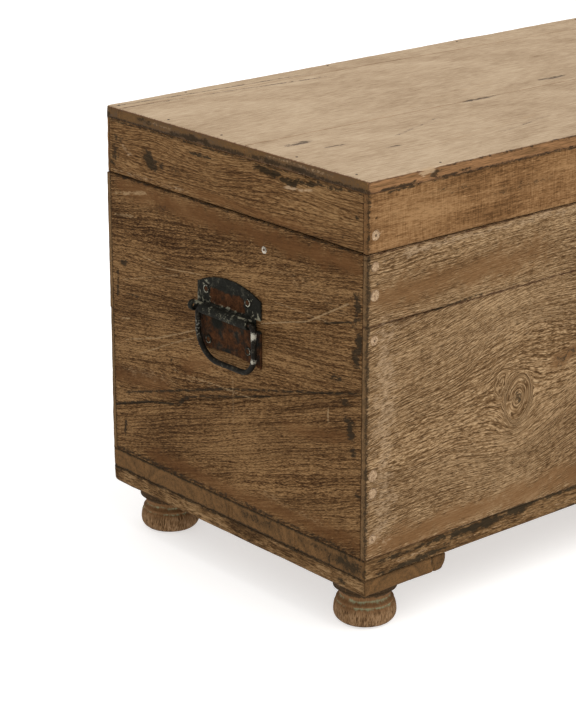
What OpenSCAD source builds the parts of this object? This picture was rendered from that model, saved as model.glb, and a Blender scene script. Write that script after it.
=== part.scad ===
// Old wooden storage chest: lapped and nailed board walls on a planked floor, two cross battens,
// four turned bun feet, a deep boxed lid on two butt hinges with a slotted stay, and an iron bail
// handle on each end. Millimetres, +Z up, front faces -Y, origin on the ground at the centre.

/* [Chest] */
// Length of the chest, end to end
chest_l = 1060; // [900:10:1200]
// Depth of the chest, front to back
chest_d = 430; // [400:5:500]
// Height of the wall boards
wall_h = 327; // [320:1:380]
// Thickness of the front and back boards
face_t = 20; // [18:1:24]
// Thickness of the end boards
end_t = 22; // [20:1:26]
// Thickness of the front and back boards' tongues, which lap the edges of the end boards
lap_t = 7; // [5:0.5:10]
// Thickness of the floor boards
floor_t = 23; // [18:1:28]

/* [Base] */
// Height of the turned feet
foot_h = 52; // [45:1:70]
// Radius of the collar at the top of a foot
foot_collar_r = 34.5; // [30:0.5:38]
// Widest radius of the bun of a foot
foot_bun_r = 34; // [30:0.5:38]
// Distance from a foot's axis to the end of the chest
foot_inset_x = 45; // [40:1:60]
// Distance from a foot's axis to the front or back of the chest
foot_inset_y = 48; // [40:1:60]
// Width of the cross battens under the floor
batten_w = 116; // [100:1:140]
// Thickness of the cross battens
batten_t = 18; // [16:1:24]

/* [Lid] */
// Height of the lid rails
rail_h = 61.5; // [58:0.5:90]
// Thickness of the lid's top boards
top_t = 13; // [12:1:20]
// Gap between the walls and the closed lid
lid_gap = 0.5; // [0.3:0.1:1.5]
// Largest opening angle that the stay allows
lid_open = 100; // [80:1:102]

/* [Iron] */
// Thickness of the handle plates
plate_t = 2.5; // [2:0.1:3]
// Diameter of the bail wire
bail_d = 6.5; // [5.5:0.1:7]
// Outer radius of a hinge knuckle
knuckle_r = 5.5; // [5:0.1:6.5]
// Width of a hinge
hinge_w = 64; // [55:1:80]
// Distance from the middle of the chest to the middle of a hinge
hinge_x = 320; // [250:5:380]

/* [Hidden] */
$fn = 48;
fit = 0.05;         // radial clearance of a nail, dowel or pin in its hole
cut = 1;            // how far a cutter runs past the face it cuts

// Levels from the ground up
z_floor = foot_h + batten_t;
z_wall = z_floor + floor_t;
z_seam = z_wall + wall_h;
z_lid = z_seam + lid_gap;
z_top = z_lid + rail_h;
total_h = z_top + top_t;

// The hinge knuckles stand out behind, so the box of the whole chest is centred on the origin
knuckle_gap = 0.4;
hinge_out = 2 * knuckle_r + knuckle_gap;
y_front = -(chest_d + hinge_out) / 2;
y_back = y_front + chest_d;
x_left = -chest_l / 2;
x_right = chest_l / 2;
axis_y = y_back + knuckle_gap + knuckle_r;
axis_z = z_seam + lid_gap / 2;

// Board joints: distances back from the front edge, or heights above the floor boards
floor_joints = [0, 110, 220, 372, chest_d];
front_joint_z = z_wall + 252;
back_joint_z = z_wall + 169;
left_joint = [z_wall + 184, z_wall + 54];        // at the front edge and at the back edge
right_joint = [z_wall + 143, z_wall + 169];
top_joint_front = [190, 172];                    // at the left end and at the right end
top_joint_back = [chest_d - 24, chest_d - 66];

// Nails through the laps: heights above the floor boards, and the size of their wooden plugs
nail_r = 1.6;
nail_head_r = 3.2;
nail_head_t = 1.2;
nail_l = 42;
plug_r = 5.2;
plug_t = 2.5;
nail_x = end_t / 2 - 1;
front_left_nails = [22, 73, 92, 237, 284, 314];
front_right_nails = [19, 65, 112, 225, 277, 312];
back_nails = [23, 79, 137, 225, 267, 311];
// Nails up through the base into the walls
base_nail_l = 74;
base_end_y = [95, 175, 250, 335];
base_face_x = [for (f = [-0.36, -0.18, 0, 0.18, 0.36]) f * chest_l];
// Nails in the lid: two at each corner of the rails, the lower one plugged, and a row round the top
rail_nail_z = [z_lid + 18.5, z_lid + 35.5];
rail_nail_l = 30;
rail_plug_t = 2;
top_end_y = [30, 120, 240, 330, chest_d - 12];
top_face_x = [for (f = [-0.4, -0.2, 0, 0.2, 0.4]) f * chest_l];
top_nail_r = 1.3;
top_nail_l = 34;

// Feet
dowel_r = 11;
dowel_h = batten_t + 12;
foot_base_r = 24;
foot_neck_r = 28;
foot_neck_z = foot_h - 25;
foot_collar_t = 17;
foot_bun_z = 11;
// The battens are rounded along their inner and rear lower edges, and only worn at the others
batten_round_r = 12;
batten_worn_r = 3;

// Handles: y from the front edge, z from the ground
plate_y = [162, 267];
plate_z = [z_wall + 166, z_wall + 252];
plate_rise = 12.5;
plate_dip = 4;
plate_mid = (plate_y[0] + plate_y[1]) / 2;
plate_w = plate_y[1] - plate_y[0];
bail_r = bail_d / 2;
bail_axis_out = 7.5;
bail_axis_z = z_wall + 213;
bail_legs = [167, 260];
bail_bottom_z = z_wall + 158;
bail_top_bend = 6.5;
bail_bottom_bend = 22;
barrel_r = 6;
barrel_fit = 0.07;
barrel_y = [174, 271];
barrel_notch = [253, 264];
barrel_notch_over = 0.55;
screw_spots = [for (s = [[182, 235], [251, 234], [182, 181], [248, 178]]) [s[0], z_wall + s[1]]];
handle_screw_r = 4.4;
handle_screw_t = 2;
slot_w = 1.2;

// Hinges
leaf_t = 2.5;
box_leaf_h = 42;
lid_leaf_h = 36;
knuckle_count = 5;
knuckle_l = hinge_w / knuckle_count;
knuckle_play = 0.3;
pin_r = 2.5;
pin_head_r = 3.8;
pin_head_t = 1.4;
hinge_screws = [[-22, 14], [22, 14], [0, 27]];   // from the middle of the hinge, from the axis
hinge_screw_r = 4;
wood_screw_r = 2;
wood_screw_l = 16;

// Stay: u runs forward from the hinge axis and w up, pivot on the lid and stud on the wall
stay_pivot = [45, 20];
stay_stud = [112, -16];
stay_t = 3;
stay_off = 1;
stay_half_w = 7.5;
link_half_w = 5.8;
link_start = [20, 0];
link_bend = [51, 0];
stay_eye_r = 8;
stay_play = 0.3;
stud_r = 3;
stud_head_r = 6;
stud_head_t = 2;
slot_half_w = stud_r + 0.4;
slot_slack = 2;
stay_a = norm(stay_pivot);
stay_a0 = atan2(stay_pivot[1], stay_pivot[0]);

// ---------------------------------------------------------------- helpers

// A block between two corners
module block(low, high) {
    translate(low) cube(high - low);
}

// A shape of the left end, or its mirror image at the right end
module at_right(right) {
    if (right) mirror([1, 0, 0]) children();
    else children();
}

// A shape of the front, or its mirror image at the back
module at_back(back) {
    if (back) translate([0, 2 * y_front + chest_d, 0]) mirror([0, 1, 0]) children();
    else children();
}

// An end wall's outline is drawn in (y, z) and stands on the plane x = 0, towards +X
module end_sheet(t) {
    rotate([90, 0, 90]) linear_extrude(height = t) children();
}

// ---------------------------------------------------------------- nails and their holes

// A headed nail along +Z, its head at the origin and its shank going down
module nail(l, grow = 0) {
    cylinder(h = l, r = nail_r + grow);
    cylinder(h = nail_head_t, r = nail_head_r + grow);
}

module at_corner_nails(right, back, sink) {
    heights = back ? back_nails : (right ? front_right_nails : front_left_nails);
    at_right(right) at_back(back)
        for (z = heights)
            translate([x_left + nail_x, y_front + sink, z_wall + z]) rotate([-90, 0, 0]) children();
}

module corner_nail_set(grow = 0) {
    for (right = [false, true], back = [false, true])
        at_corner_nails(right, back, plug_t) nail(nail_l, grow);
}

module corner_cutter() {
    corner_nail_set(fit);
    for (right = [false, true], back = [false, true])
        at_corner_nails(right, back, -cut) cylinder(h = plug_t + cut, r = plug_r + fit);
}

module base_nail_set(grow = 0) {
    for (right = [false, true], y = base_end_y)
        at_right(right)
            translate([x_left + end_t / 2, y_front + y, foot_h]) nail(base_nail_l, grow);
    for (back = [false, true], x = base_face_x)
        at_back(back)
            translate([x, y_front + face_t / 2, z_floor]) nail(base_nail_l, grow);
}

module at_rail_nails(sink) {
    for (right = [false, true], back = [false, true], z = rail_nail_z)
        at_right(right) at_back(back)
            translate([x_left + nail_x, y_front + sink, z]) rotate([-90, 0, 0]) children();
}

module at_rail_plugs(sink) {
    for (right = [false, true], back = [false, true])
        at_right(right) at_back(back)
            translate([x_left + nail_x, y_front + sink, rail_nail_z[0]]) rotate([-90, 0, 0]) children();
}

module rail_cutter() {
    at_rail_nails(plug_t) nail(rail_nail_l, fit);
    at_rail_nails(-cut) cylinder(h = plug_t + cut, r = nail_head_r + fit);
    at_rail_plugs(-cut) cylinder(h = rail_plug_t + cut, r = plug_r + fit);
}

module top_nail_set(grow = 0, over = 0) {
    for (right = [false, true], y = top_end_y)
        at_right(right)
            translate([x_left + end_t / 2, y_front + y, total_h - top_nail_l])
                cylinder(h = top_nail_l + over, r = top_nail_r + grow);
    for (back = [false, true], x = top_face_x)
        at_back(back)
            translate([x, y_front + face_t / 2, total_h - top_nail_l])
                cylinder(h = top_nail_l + over, r = top_nail_r + grow);
}

module corner_nails() {
    color("#4a4038") corner_nail_set();
}

module corner_nail_plugs() {
    color("tan")
    for (right = [false, true], back = [false, true])
        at_corner_nails(right, back, 0) cylinder(h = plug_t, r = plug_r);
}

module base_nails() {
    color("#4a4038") base_nail_set();
}

module lid_rail_nails() {
    color("#4a4038") at_rail_nails(plug_t) nail(rail_nail_l);
}

module lid_rail_plugs() {
    color("tan") at_rail_plugs(0) cylinder(h = rail_plug_t, r = plug_r);
}

module lid_top_nails() {
    color("#4a4038") top_nail_set();
}

// ---------------------------------------------------------------- floor and base

module foot_dowels(grow = 0) {
    for (right = [false, true], back = [false, true])
        at_right(right) at_back(back)
            translate([x_left + foot_inset_x, y_front + foot_inset_y, foot_h])
                cylinder(h = dowel_h + grow, r = dowel_r + grow);
}

module floor_board(i) {
    color("sienna")
    difference() {
        block([x_left, y_front + floor_joints[i], z_floor],
              [x_right, y_front + floor_joints[i + 1], z_wall]);
        foot_dowels(fit);
        base_nail_set(fit);
    }
}

// A view of a batten from one side, its two lower corners rounded
module batten_view(from, to, radii) {
    intersection() {
        translate([from, foot_h]) square([to - from, batten_t]);
        hull() {
            translate([from, foot_h + max(radii)]) square([to - from, batten_t]);
            translate([from + radii[0], foot_h + radii[0]]) circle(r = radii[0]);
            translate([to - radii[1], foot_h + radii[1]]) circle(r = radii[1]);
        }
    }
}

module batten(right) {
    color("peru")
    difference() {
        at_right(right)
            intersection() {
                translate([0, y_back, 0]) rotate([90, 0, 0]) linear_extrude(chest_d)
                    batten_view(x_left, x_left + batten_w, [batten_worn_r, batten_round_r]);
                translate([x_left, 0, 0]) rotate([90, 0, 90]) linear_extrude(batten_w)
                    batten_view(y_front, y_back, [batten_worn_r, batten_round_r]);
            }
        foot_dowels(fit);
        base_nail_set(fit);
    }
}

// Half outline of a foot, as radius and height: bun, neck, cove and collar
function foot_outline() = concat(
    [[0, 0]],
    [for (a = [-90 : 10 : 0])
        [foot_base_r + (foot_bun_r - foot_base_r) * cos(a), foot_bun_z * (1 + sin(a))]],
    [for (a = [8 : 8 : 72])
        [foot_neck_r - 2 + (foot_bun_r - foot_neck_r + 2) * cos(a),
         foot_bun_z + (foot_neck_z - foot_bun_z) * sin(a) / sin(72)]],
    [[foot_neck_r, foot_neck_z + 1.5]],
    [for (a = [0 : 15 : 75])
        [foot_neck_r + (foot_collar_r - foot_neck_r) * (1 - cos(a)),
         foot_neck_z + 3 + (foot_h - foot_collar_t + 1 - foot_neck_z) * sin(a)]],
    [[foot_collar_r, foot_h - foot_collar_t + 5], [foot_collar_r, foot_h], [0, foot_h]]
);

module foot(right, back) {
    color("peru")
    at_right(right) at_back(back)
        translate([x_left + foot_inset_x, y_front + foot_inset_y, 0]) {
            rotate_extrude($fn = 96) polygon(foot_outline());
            translate([0, 0, foot_h - 1]) cylinder(h = dowel_h + 1, r = dowel_r);
        }
}

// ---------------------------------------------------------------- walls

// A front board between two heights, its ends cut down to the lapping tongue
module face_board(low, high) {
    block([x_left, y_front, low], [x_right, y_front + lap_t, high]);
    block([x_left + end_t, y_front + lap_t - 0.5, low], [x_right - end_t, y_front + face_t, high]);
}

module face_wall(back, low, high) {
    color(back ? "saddlebrown" : "peru")
    difference() {
        at_back(back) face_board(low, high);
        corner_cutter();
        base_nail_set(fit);
        if (back) hinge_screw_shanks(false, fit);
    }
}

// An end board between two sloping heights, each given at the front and at the back edge
module end_wall(right, low, high) {
    y0 = y_front + lap_t;
    y1 = y_back - lap_t;
    color("saddlebrown")
    difference() {
        at_right(right)
            translate([x_left, 0, 0])
                end_sheet(end_t)
                    polygon([[y0, low[0]], [y1, low[1]], [y1, high[1]], [y0, high[0]]]);
        corner_cutter();
        base_nail_set(fit);
        handle_screw_set(right, fit);
        if (right) shank_hole(stay_stud);
    }
}

// ---------------------------------------------------------------- handles

// Places a shape that is drawn in (y from the front edge, z from the ground) on an end,
// extruded outwards from the wall
module on_end(right, start, t) {
    at_right(right)
        translate([x_left - start - t, y_front, 0]) end_sheet(t) children();
}

// A disc whose top touches a height
module disc_below(z, r) {
    translate([plate_mid, z - r]) circle(r = r, $fn = 180);
}

function sag_radius(chord, sag) = (chord * chord / 4 + sag * sag) / (2 * sag);

module plate_outline() {
    difference() {
        intersection() {
            translate([plate_y[0], plate_z[0]]) square([plate_w, plate_z[1] - plate_z[0]]);
            disc_below(plate_z[1], sag_radius(plate_w, plate_rise));
        }
        disc_below(plate_z[0] + plate_dip, sag_radius(plate_w, plate_dip));
        translate([plate_y[0] - cut, bail_axis_z - 6]) square([cut + 9, 12]);
    }
}

// The shallow pressed pan in the upper half of the plate
module pan_outline() {
    intersection() {
        translate([plate_mid - 31, bail_axis_z + 8]) square([62, 30]);
        disc_below(plate_z[1] - 9, sag_radius(84, 20));
    }
}

// The axis of a bail, with +Z running along the end from front to back
module at_bail_axis(right, y) {
    at_right(right)
        translate([x_left - bail_axis_out, y_front + y, bail_axis_z]) rotate([-90, 0, 0]) children();
}

module handle_plate(right) {
    color("#3a3734")
    difference() {
        union() {
            on_end(right, 0, plate_t) plate_outline();
            at_bail_axis(right, barrel_y[0]) cylinder(h = barrel_y[1] - barrel_y[0], r = barrel_r);
        }
        at_bail_axis(right, barrel_y[0] - cut)
            cylinder(h = barrel_y[1] - barrel_y[0] + 2 * cut, r = bail_r + barrel_fit);
        on_end(right, plate_t - 0.9, 3) pan_outline();
        // The notch lets the rear leg swing from hanging to square out and stops it there
        at_right(right)
            block([x_left - bail_axis_out - 12, y_front + barrel_notch[0], bail_axis_z - 12],
                  [x_left - plate_t - 0.6, y_front + barrel_notch[1],
                   bail_axis_z + bail_r + barrel_notch_over]);
        handle_screw_set(right, fit);
    }
}

module handle_screw_set(right, grow = 0) {
    for (s = screw_spots)
        at_right(right)
            translate([x_left - plate_t, y_front + s[0], s[1]]) rotate([0, 90, 0])
                cylinder(h = plate_t + wood_screw_l, r = wood_screw_r + grow);
}

module handle_screws(right) {
    color("#5a4436") {
        handle_screw_set(right);
        for (s = screw_spots)
            at_right(right)
                translate([x_left - plate_t, y_front + s[0], s[1]]) rotate([0, -90, 0])
                    difference() {
                        union() {
                            cylinder(h = handle_screw_t / 2, r = handle_screw_r);
                            translate([0, 0, handle_screw_t / 2])
                                cylinder(h = handle_screw_t / 2, r1 = handle_screw_r, r2 = 2.8);
                        }
                        translate([-handle_screw_r, -slot_w / 2, handle_screw_t - 0.9])
                            cube([2 * handle_screw_r, slot_w, cut]);
                    }
    }
}

// A quarter bend of the bail wire in the (y, z) plane, about a centre, from one angle
module wire_bend(y, z, r, from) {
    translate([0, y, z]) rotate([90, 0, 90]) rotate([0, 0, from])
        rotate_extrude(angle = 90, $fn = 96) translate([r, 0]) circle(r = bail_r, $fn = 32);
}

module wire_run(from, to) {
    d = to - from;
    translate(from)
        rotate(abs(d[1]) > abs(d[2]) ? [-90, 0, 0] : [0, 0, 0]) cylinder(h = norm(d), r = bail_r, $fn = 32);
}

module bail(right) {
    y0 = bail_legs[0];
    y1 = bail_legs[1];
    zt = bail_axis_z - bail_top_bend;
    zb = bail_bottom_z + bail_bottom_bend;
    color("#2d2c2b")
    at_right(right)
        translate([x_left - bail_axis_out, y_front, 0]) {
            wire_run([0, y0 + bail_top_bend, bail_axis_z], [0, y1 - bail_top_bend, bail_axis_z]);
            wire_bend(y0 + bail_top_bend, zt, bail_top_bend, 90);
            wire_bend(y1 - bail_top_bend, zt, bail_top_bend, 0);
            wire_run([0, y0, zb], [0, y0, zt]);
            wire_run([0, y1, zb], [0, y1, zt]);
            wire_bend(y0 + bail_bottom_bend, zb, bail_bottom_bend, 180);
            wire_bend(y1 - bail_bottom_bend, zb, bail_bottom_bend, 270);
            wire_run([0, y0 + bail_bottom_bend, bail_bottom_z], [0, y1 - bail_bottom_bend, bail_bottom_z]);
        }
}

// ---------------------------------------------------------------- hinges

// A run of the hinge axis, measured from the left edge of a hinge
module along_axis(side, from, l, r) {
    translate([side * hinge_x - hinge_w / 2 + from, axis_y, axis_z])
        rotate([0, 90, 0]) cylinder(h = l, r = r);
}

// Knuckles 0, 2 and 4 belong to the box leaf, 1 and 3 to the lid leaf
module hinge_leaf(side, lid) {
    first = lid ? 1 : 0;
    z0 = lid ? axis_z + knuckle_play : axis_z - box_leaf_h;
    z1 = lid ? axis_z + lid_leaf_h : axis_z - knuckle_play;
    color("#3a3734")
    difference() {
        union() {
            block([side * hinge_x - hinge_w / 2, y_back, z0],
                  [side * hinge_x + hinge_w / 2, y_back + leaf_t, z1]);
            for (i = [first : 2 : knuckle_count - 1])
                along_axis(side, i * knuckle_l + knuckle_play / 2, knuckle_l - knuckle_play, knuckle_r);
        }
        // Room for the other leaf's knuckles
        for (i = [1 - first : 2 : knuckle_count - 1])
            along_axis(side, i * knuckle_l - knuckle_play / 2, knuckle_l + knuckle_play,
                       knuckle_r + knuckle_gap);
        // The bore for the pin
        along_axis(side, -cut, hinge_w + 2 * cut, pin_r + fit);
        hinge_screw_set(lid, fit);
    }
}

module hinge_pin(side) {
    color("#4a4038") {
        along_axis(side, -0.1, hinge_w + 0.2, pin_r);
        along_axis(side, -0.1 - pin_head_t, pin_head_t, pin_head_r);
        along_axis(side, hinge_w + 0.1, pin_head_t, pin_head_r);
    }
}

module at_hinge_screws(lid) {
    for (side = [-1, 1], s = hinge_screws)
        translate([side * hinge_x + s[0], y_back + leaf_t, axis_z + (lid ? s[1] - 2 : -s[1])])
            rotate([90, 0, 0]) children();
}

module hinge_screw_shanks(lid, grow = 0) {
    at_hinge_screws(lid) cylinder(h = leaf_t + wood_screw_l, r = wood_screw_r + grow);
}

// Countersunk screws whose heads lie flush with the leaf
module hinge_screw_set(lid, grow = 0) {
    hinge_screw_shanks(lid, grow);
    at_hinge_screws(lid)
        cylinder(h = 2, r1 = hinge_screw_r + grow, r2 = wood_screw_r + grow);
}

module hinge_screws_node(lid) {
    color("#5a4436")
    difference() {
        hinge_screw_set(lid);
        at_hinge_screws(lid) translate([-hinge_screw_r, -0.5, -cut]) cube([2 * hinge_screw_r, 1, cut + 0.7]);
    }
}

// ---------------------------------------------------------------- stay

// The plane of the stay beside the right end: x runs forward, y up and z into the chest
module stay_plane(off) {
    translate([x_right - end_t - off, axis_y, axis_z]) rotate([90, 0, -90]) children();
}

function rel(p) = [p[0], p[1], 0];

// A shouldered screw: washer against the wood, shank through the iron, head inside
module shouldered_screw(p) {
    translate(rel(p)) {
        translate([0, 0, -wood_screw_l]) cylinder(h = wood_screw_l, r = wood_screw_r);
        cylinder(h = stay_off - stay_play, r = stud_head_r);
        cylinder(h = stay_off + stay_t + stay_play + stud_head_t, r = stud_r);
        translate([0, 0, stay_off + stay_t + stay_play]) cylinder(h = stud_head_t, r = stud_head_r);
    }
}

// The hole in the wood for a shouldered screw
module shank_hole(p) {
    stay_plane(0) translate(rel(p) - [0, 0, wood_screw_l])
        cylinder(h = wood_screw_l + cut, r = wood_screw_r + fit);
}

// Where the stud lies in the arm's frame when the lid is open by an angle: an arc of the
// pivot's own radius, because the arm keeps its direction while the lid turns
function stud_path(a) = stay_stud - stay_a * [cos(stay_a0 + a), sin(stay_a0 + a)];

// The link bends from the pivot down into the slot, on a quadratic curve
function link_path(t) = (1 - t) * (1 - t) * link_start + 2 * t * (1 - t) * link_bend + t * t * stud_path(0);

function slot_angles() = concat([for (a = [-slot_slack : 4 : lid_open - 2]) a], [lid_open]);

function unit(v) = v / norm(v);

function line_dir(line, i) = unit(line[min(i + 1, len(line) - 1)] - line[max(i - 1, 0)]);

function left_of(d) = [-d[1], d[0]];

// The outline of a ribbon along a line, with its half width at each point, round at both ends
function ribbon(line, half_w) =
    let (n = len(line), d0 = line_dir(line, 0), d1 = line_dir(line, n - 1))
    concat(
        [for (i = [0 : n - 1]) line[i] + half_w[i] * left_of(line_dir(line, i))],
        [for (t = [15 : 15 : 165]) line[n - 1] + half_w[n - 1] * (left_of(d1) * cos(t) + d1 * sin(t))],
        [for (i = [n - 1 : -1 : 0]) line[i] - half_w[i] * left_of(line_dir(line, i))],
        [for (t = [15 : 15 : 165]) line[0] - half_w[0] * (left_of(d0) * cos(t) + d0 * sin(t))]
    );

module stay_arm() {
    slot_line = [for (a = slot_angles()) stud_path(a)];
    link_line = concat([[0, 0]], [for (t = [0 : 0.1 : 0.9]) link_path(t)]);
    link_w = concat([link_half_w], [for (t = [0 : 0.1 : 0.9]) link_half_w + t * (stay_half_w - link_half_w)]);
    color("#2d2c2b")
    stay_plane(stay_off)
        translate(rel(stay_pivot))
            difference() {
                union() {
                    linear_extrude(height = stay_t)
                        polygon(ribbon(concat(link_line, slot_line),
                                       concat(link_w, [for (p = slot_line) stay_half_w])));
                    cylinder(h = stay_t, r = stay_eye_r);
                }
                translate([0, 0, -cut]) linear_extrude(height = stay_t + 2 * cut)
                    polygon(ribbon(slot_line, [for (p = slot_line) slot_half_w]));
                translate([0, 0, -cut]) cylinder(h = stay_t + 2 * cut, r = stud_r + 0.08);
            }
}

module stay_stud() {
    color("#5a4436") stay_plane(0) shouldered_screw(stay_stud);
}

module stay_pivot_screw() {
    color("#5a4436") stay_plane(0) shouldered_screw(stay_pivot);
}

// ---------------------------------------------------------------- lid

module lid_face_rail(back) {
    color("peru")
    difference() {
        at_back(back) face_board(z_lid, z_top);
        rail_cutter();
        top_nail_set(fit, cut);
        if (back) hinge_screw_shanks(true, fit);
    }
}

module lid_end_rail(right) {
    color("saddlebrown")
    difference() {
        at_right(right)
            block([x_left, y_front + lap_t, z_lid], [x_left + end_t, y_back - lap_t, z_top]);
        rail_cutter();
        top_nail_set(fit, cut);
        if (right) shank_hole(stay_pivot);
    }
}

// A top board between two joints, each given as its distance from the front at the two ends
module top_board(low, high) {
    color("burlywood")
    difference() {
        translate([0, y_front, z_top])
            linear_extrude(height = top_t)
                polygon([[x_left, low[0]], [x_right, low[1]], [x_right, high[1]], [x_left, high[0]]]);
        top_nail_set(fit, cut);
    }
}

// The cleat crosses the three top boards inside, midway along the lid
module lid_cleat() {
    color("peru")
    block([-30, y_front + face_t, z_top - 16], [30, y_back - face_t, z_top]);
}

// ---------------------------------------------------------------- nodes

floor_board(0);  // floor_board_1
floor_board(1);  // floor_board_2
floor_board(2);  // floor_board_3
floor_board(3);  // floor_board_4
batten(false);  // left_batten
batten(true);  // right_batten
foot(false, false);  // front_left_foot
foot(true, false);  // front_right_foot
foot(false, true);  // back_left_foot
foot(true, true);  // back_right_foot
face_wall(false, z_wall, front_joint_z);  // front_lower_board
face_wall(false, front_joint_z, z_seam);  // front_upper_board
face_wall(true, z_wall, back_joint_z);  // back_lower_board
face_wall(true, back_joint_z, z_seam);  // back_upper_board
end_wall(false, [z_wall, z_wall], left_joint);  // left_end_lower_board
end_wall(false, left_joint, [z_seam, z_seam]);  // left_end_upper_board
end_wall(true, [z_wall, z_wall], right_joint);  // right_end_lower_board
end_wall(true, right_joint, [z_seam, z_seam]);  // right_end_upper_board
corner_nails();
corner_nail_plugs();
base_nails();
handle_plate(false);  // left_handle_plate
handle_screws(false);  // left_handle_screws
bail(false);  // left_bail
handle_plate(true);  // right_handle_plate
handle_screws(true);  // right_handle_screws
bail(true);  // right_bail
hinge_leaf(-1, false);  // left_hinge_box_leaf
hinge_leaf(1, false);  // right_hinge_box_leaf
hinge_pin(-1);  // left_hinge_pin
hinge_pin(1);  // right_hinge_pin
hinge_screws_node(false);  // hinge_box_screws
stay_stud();
lid_face_rail(false);  // lid_front_rail
lid_face_rail(true);  // lid_back_rail
lid_end_rail(false);  // lid_left_rail
lid_end_rail(true);  // lid_right_rail
top_board([0, 0], top_joint_front);  // lid_top_front_board
top_board(top_joint_front, top_joint_back);  // lid_top_middle_board
top_board(top_joint_back, [chest_d, chest_d]);  // lid_top_back_strip
lid_cleat();
lid_rail_nails();
lid_rail_plugs();
lid_top_nails();
hinge_leaf(-1, true);  // left_hinge_lid_leaf
hinge_leaf(1, true);  // right_hinge_lid_leaf
hinge_screws_node(true);  // hinge_lid_screws
stay_pivot_screw();
stay_arm();
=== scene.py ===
"""An old wooden storage chest: weathered boards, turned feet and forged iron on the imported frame.

Lengths are millimetres in chest coordinates: x from the left end, y from the front face,
z from the ground. Only metres() turns them into the frame's own metres.
"""

import math
from collections import namedtuple

import bmesh
import bpy
import numpy as np
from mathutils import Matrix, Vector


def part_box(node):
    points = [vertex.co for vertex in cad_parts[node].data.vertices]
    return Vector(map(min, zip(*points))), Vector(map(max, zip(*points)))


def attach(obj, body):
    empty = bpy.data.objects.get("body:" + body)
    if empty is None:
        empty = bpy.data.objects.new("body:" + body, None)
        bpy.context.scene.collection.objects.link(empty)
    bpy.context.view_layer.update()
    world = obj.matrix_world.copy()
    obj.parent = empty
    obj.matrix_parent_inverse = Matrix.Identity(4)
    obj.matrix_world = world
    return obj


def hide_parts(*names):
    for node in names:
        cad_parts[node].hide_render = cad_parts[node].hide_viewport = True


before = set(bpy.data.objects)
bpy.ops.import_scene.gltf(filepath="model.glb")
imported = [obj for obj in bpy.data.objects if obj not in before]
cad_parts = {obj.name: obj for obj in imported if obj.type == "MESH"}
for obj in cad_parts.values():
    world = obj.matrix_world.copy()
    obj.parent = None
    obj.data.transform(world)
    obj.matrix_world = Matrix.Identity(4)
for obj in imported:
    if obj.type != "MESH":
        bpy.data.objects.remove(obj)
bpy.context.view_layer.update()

# ---------------------------------------------------------------- chest coordinates

MM = 1000.0
CORNER = np.array(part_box("front_lower_board")[0]) * MM * [1, 1, 0]


def chest(points):
    return np.asarray(points, float) * MM - CORNER


def metres(points):
    return (np.asarray(points, float) + CORNER) / MM


def span(node):
    """The lowest and highest corner of a CAD node, in chest coordinates."""
    low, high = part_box(node)
    return chest(low), chest(high)


def cad_points(node):
    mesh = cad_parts[node].data
    co = np.zeros(len(mesh.vertices) * 3)
    mesh.vertices.foreach_get("co", co)
    return chest(co.reshape(-1, 3))


LENGTH = span("front_lower_board")[1][0]
DEPTH = span("lid_top_back_strip")[1][1]
HEIGHT = span("lid_top_front_board")[1][2]
END_T = span("left_end_lower_board")[1][0]
TONGUE = span("left_end_lower_board")[0][1]
WALL_Z = span("floor_board_1")[1][2]

# ---------------------------------------------------------------- noise and smooth steps


def smooth(t):
    t = np.clip(t, 0, 1)
    return t * t * (3 - 2 * t)


def hill(values, centre, width):
    """1 at the centre, falling away on both sides as a bell curve."""
    return np.exp(-(((values - centre) / width) ** 2))


def hashed(cell, seed):
    """A repeatable random number from 0 to 1 for each whole-number cell."""
    h = (cell[:, 0] * 374761393 + cell[:, 1] * 668265263 + cell[:, 2] * 2246822519 + seed * 3266489917)
    h = h & 0xFFFFFFFF
    h = ((h ^ (h >> 13)) * 1274126177) & 0xFFFFFFFF
    return ((h ^ (h >> 16)) & 0xFFFF) / 65535.0


def noise(points, size, seed):
    """Value noise from -1 to 1 with features of the given size along x, y and z."""
    q = np.asarray(points, float) / size
    cell = np.floor(q).astype(np.int64)
    f = smooth(q - cell)
    total = np.zeros(len(q))
    for dx in (0, 1):
        for dy in (0, 1):
            for dz in (0, 1):
                corner = np.array([dx, dy, dz])
                weight = np.abs(1 - corner - f).prod(1)
                total += weight * hashed(cell + corner, seed)
    return total * 2 - 1


def fbm(points, size, seed, octaves=3):
    size = np.asarray(size, float) * np.ones(3)
    total, weight = 0.0, 0.0
    for i in range(octaves):
        total = total + noise(points, size / 2**i, seed + 17 * i) * 0.5**i
        weight += 0.5**i
    return total / weight


# ---------------------------------------------------------------- marks on a face

# A mark is a polyline on one face of the chest, with a radius along each of the face's two
# axes and a strength: a dark stain, pale wear, polish where the grain is rubbed smooth, or a
# dent in mm. Among them, a stain by the lid's back corner is painted shade and a pale spot on
# the batten's front end a painted highlight. A board's marks are given by face.
Mark = namedtuple("Mark", "kind points radii strength")
FACE_PLANES = {
    "left": (0, 0.0), "right": (0, LENGTH), "front": (1, 0.0), "back": (1, DEPTH), "top": (2, HEIGHT),
}
FACE_AXES = {0: [1, 2], 1: [0, 2], 2: [0, 1]}
MARK_DEPTH = 7.0
# Marks wider than this have ragged edges; thinner ones are scratches with clean edges
RAGGED_RADIUS = 2.5


def face_marks(**kinds):
    """A face's marks, given by kind as (points, radii, strength)."""
    return [Mark(kind, *each) for kind, group in kinds.items() for each in group]


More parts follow.
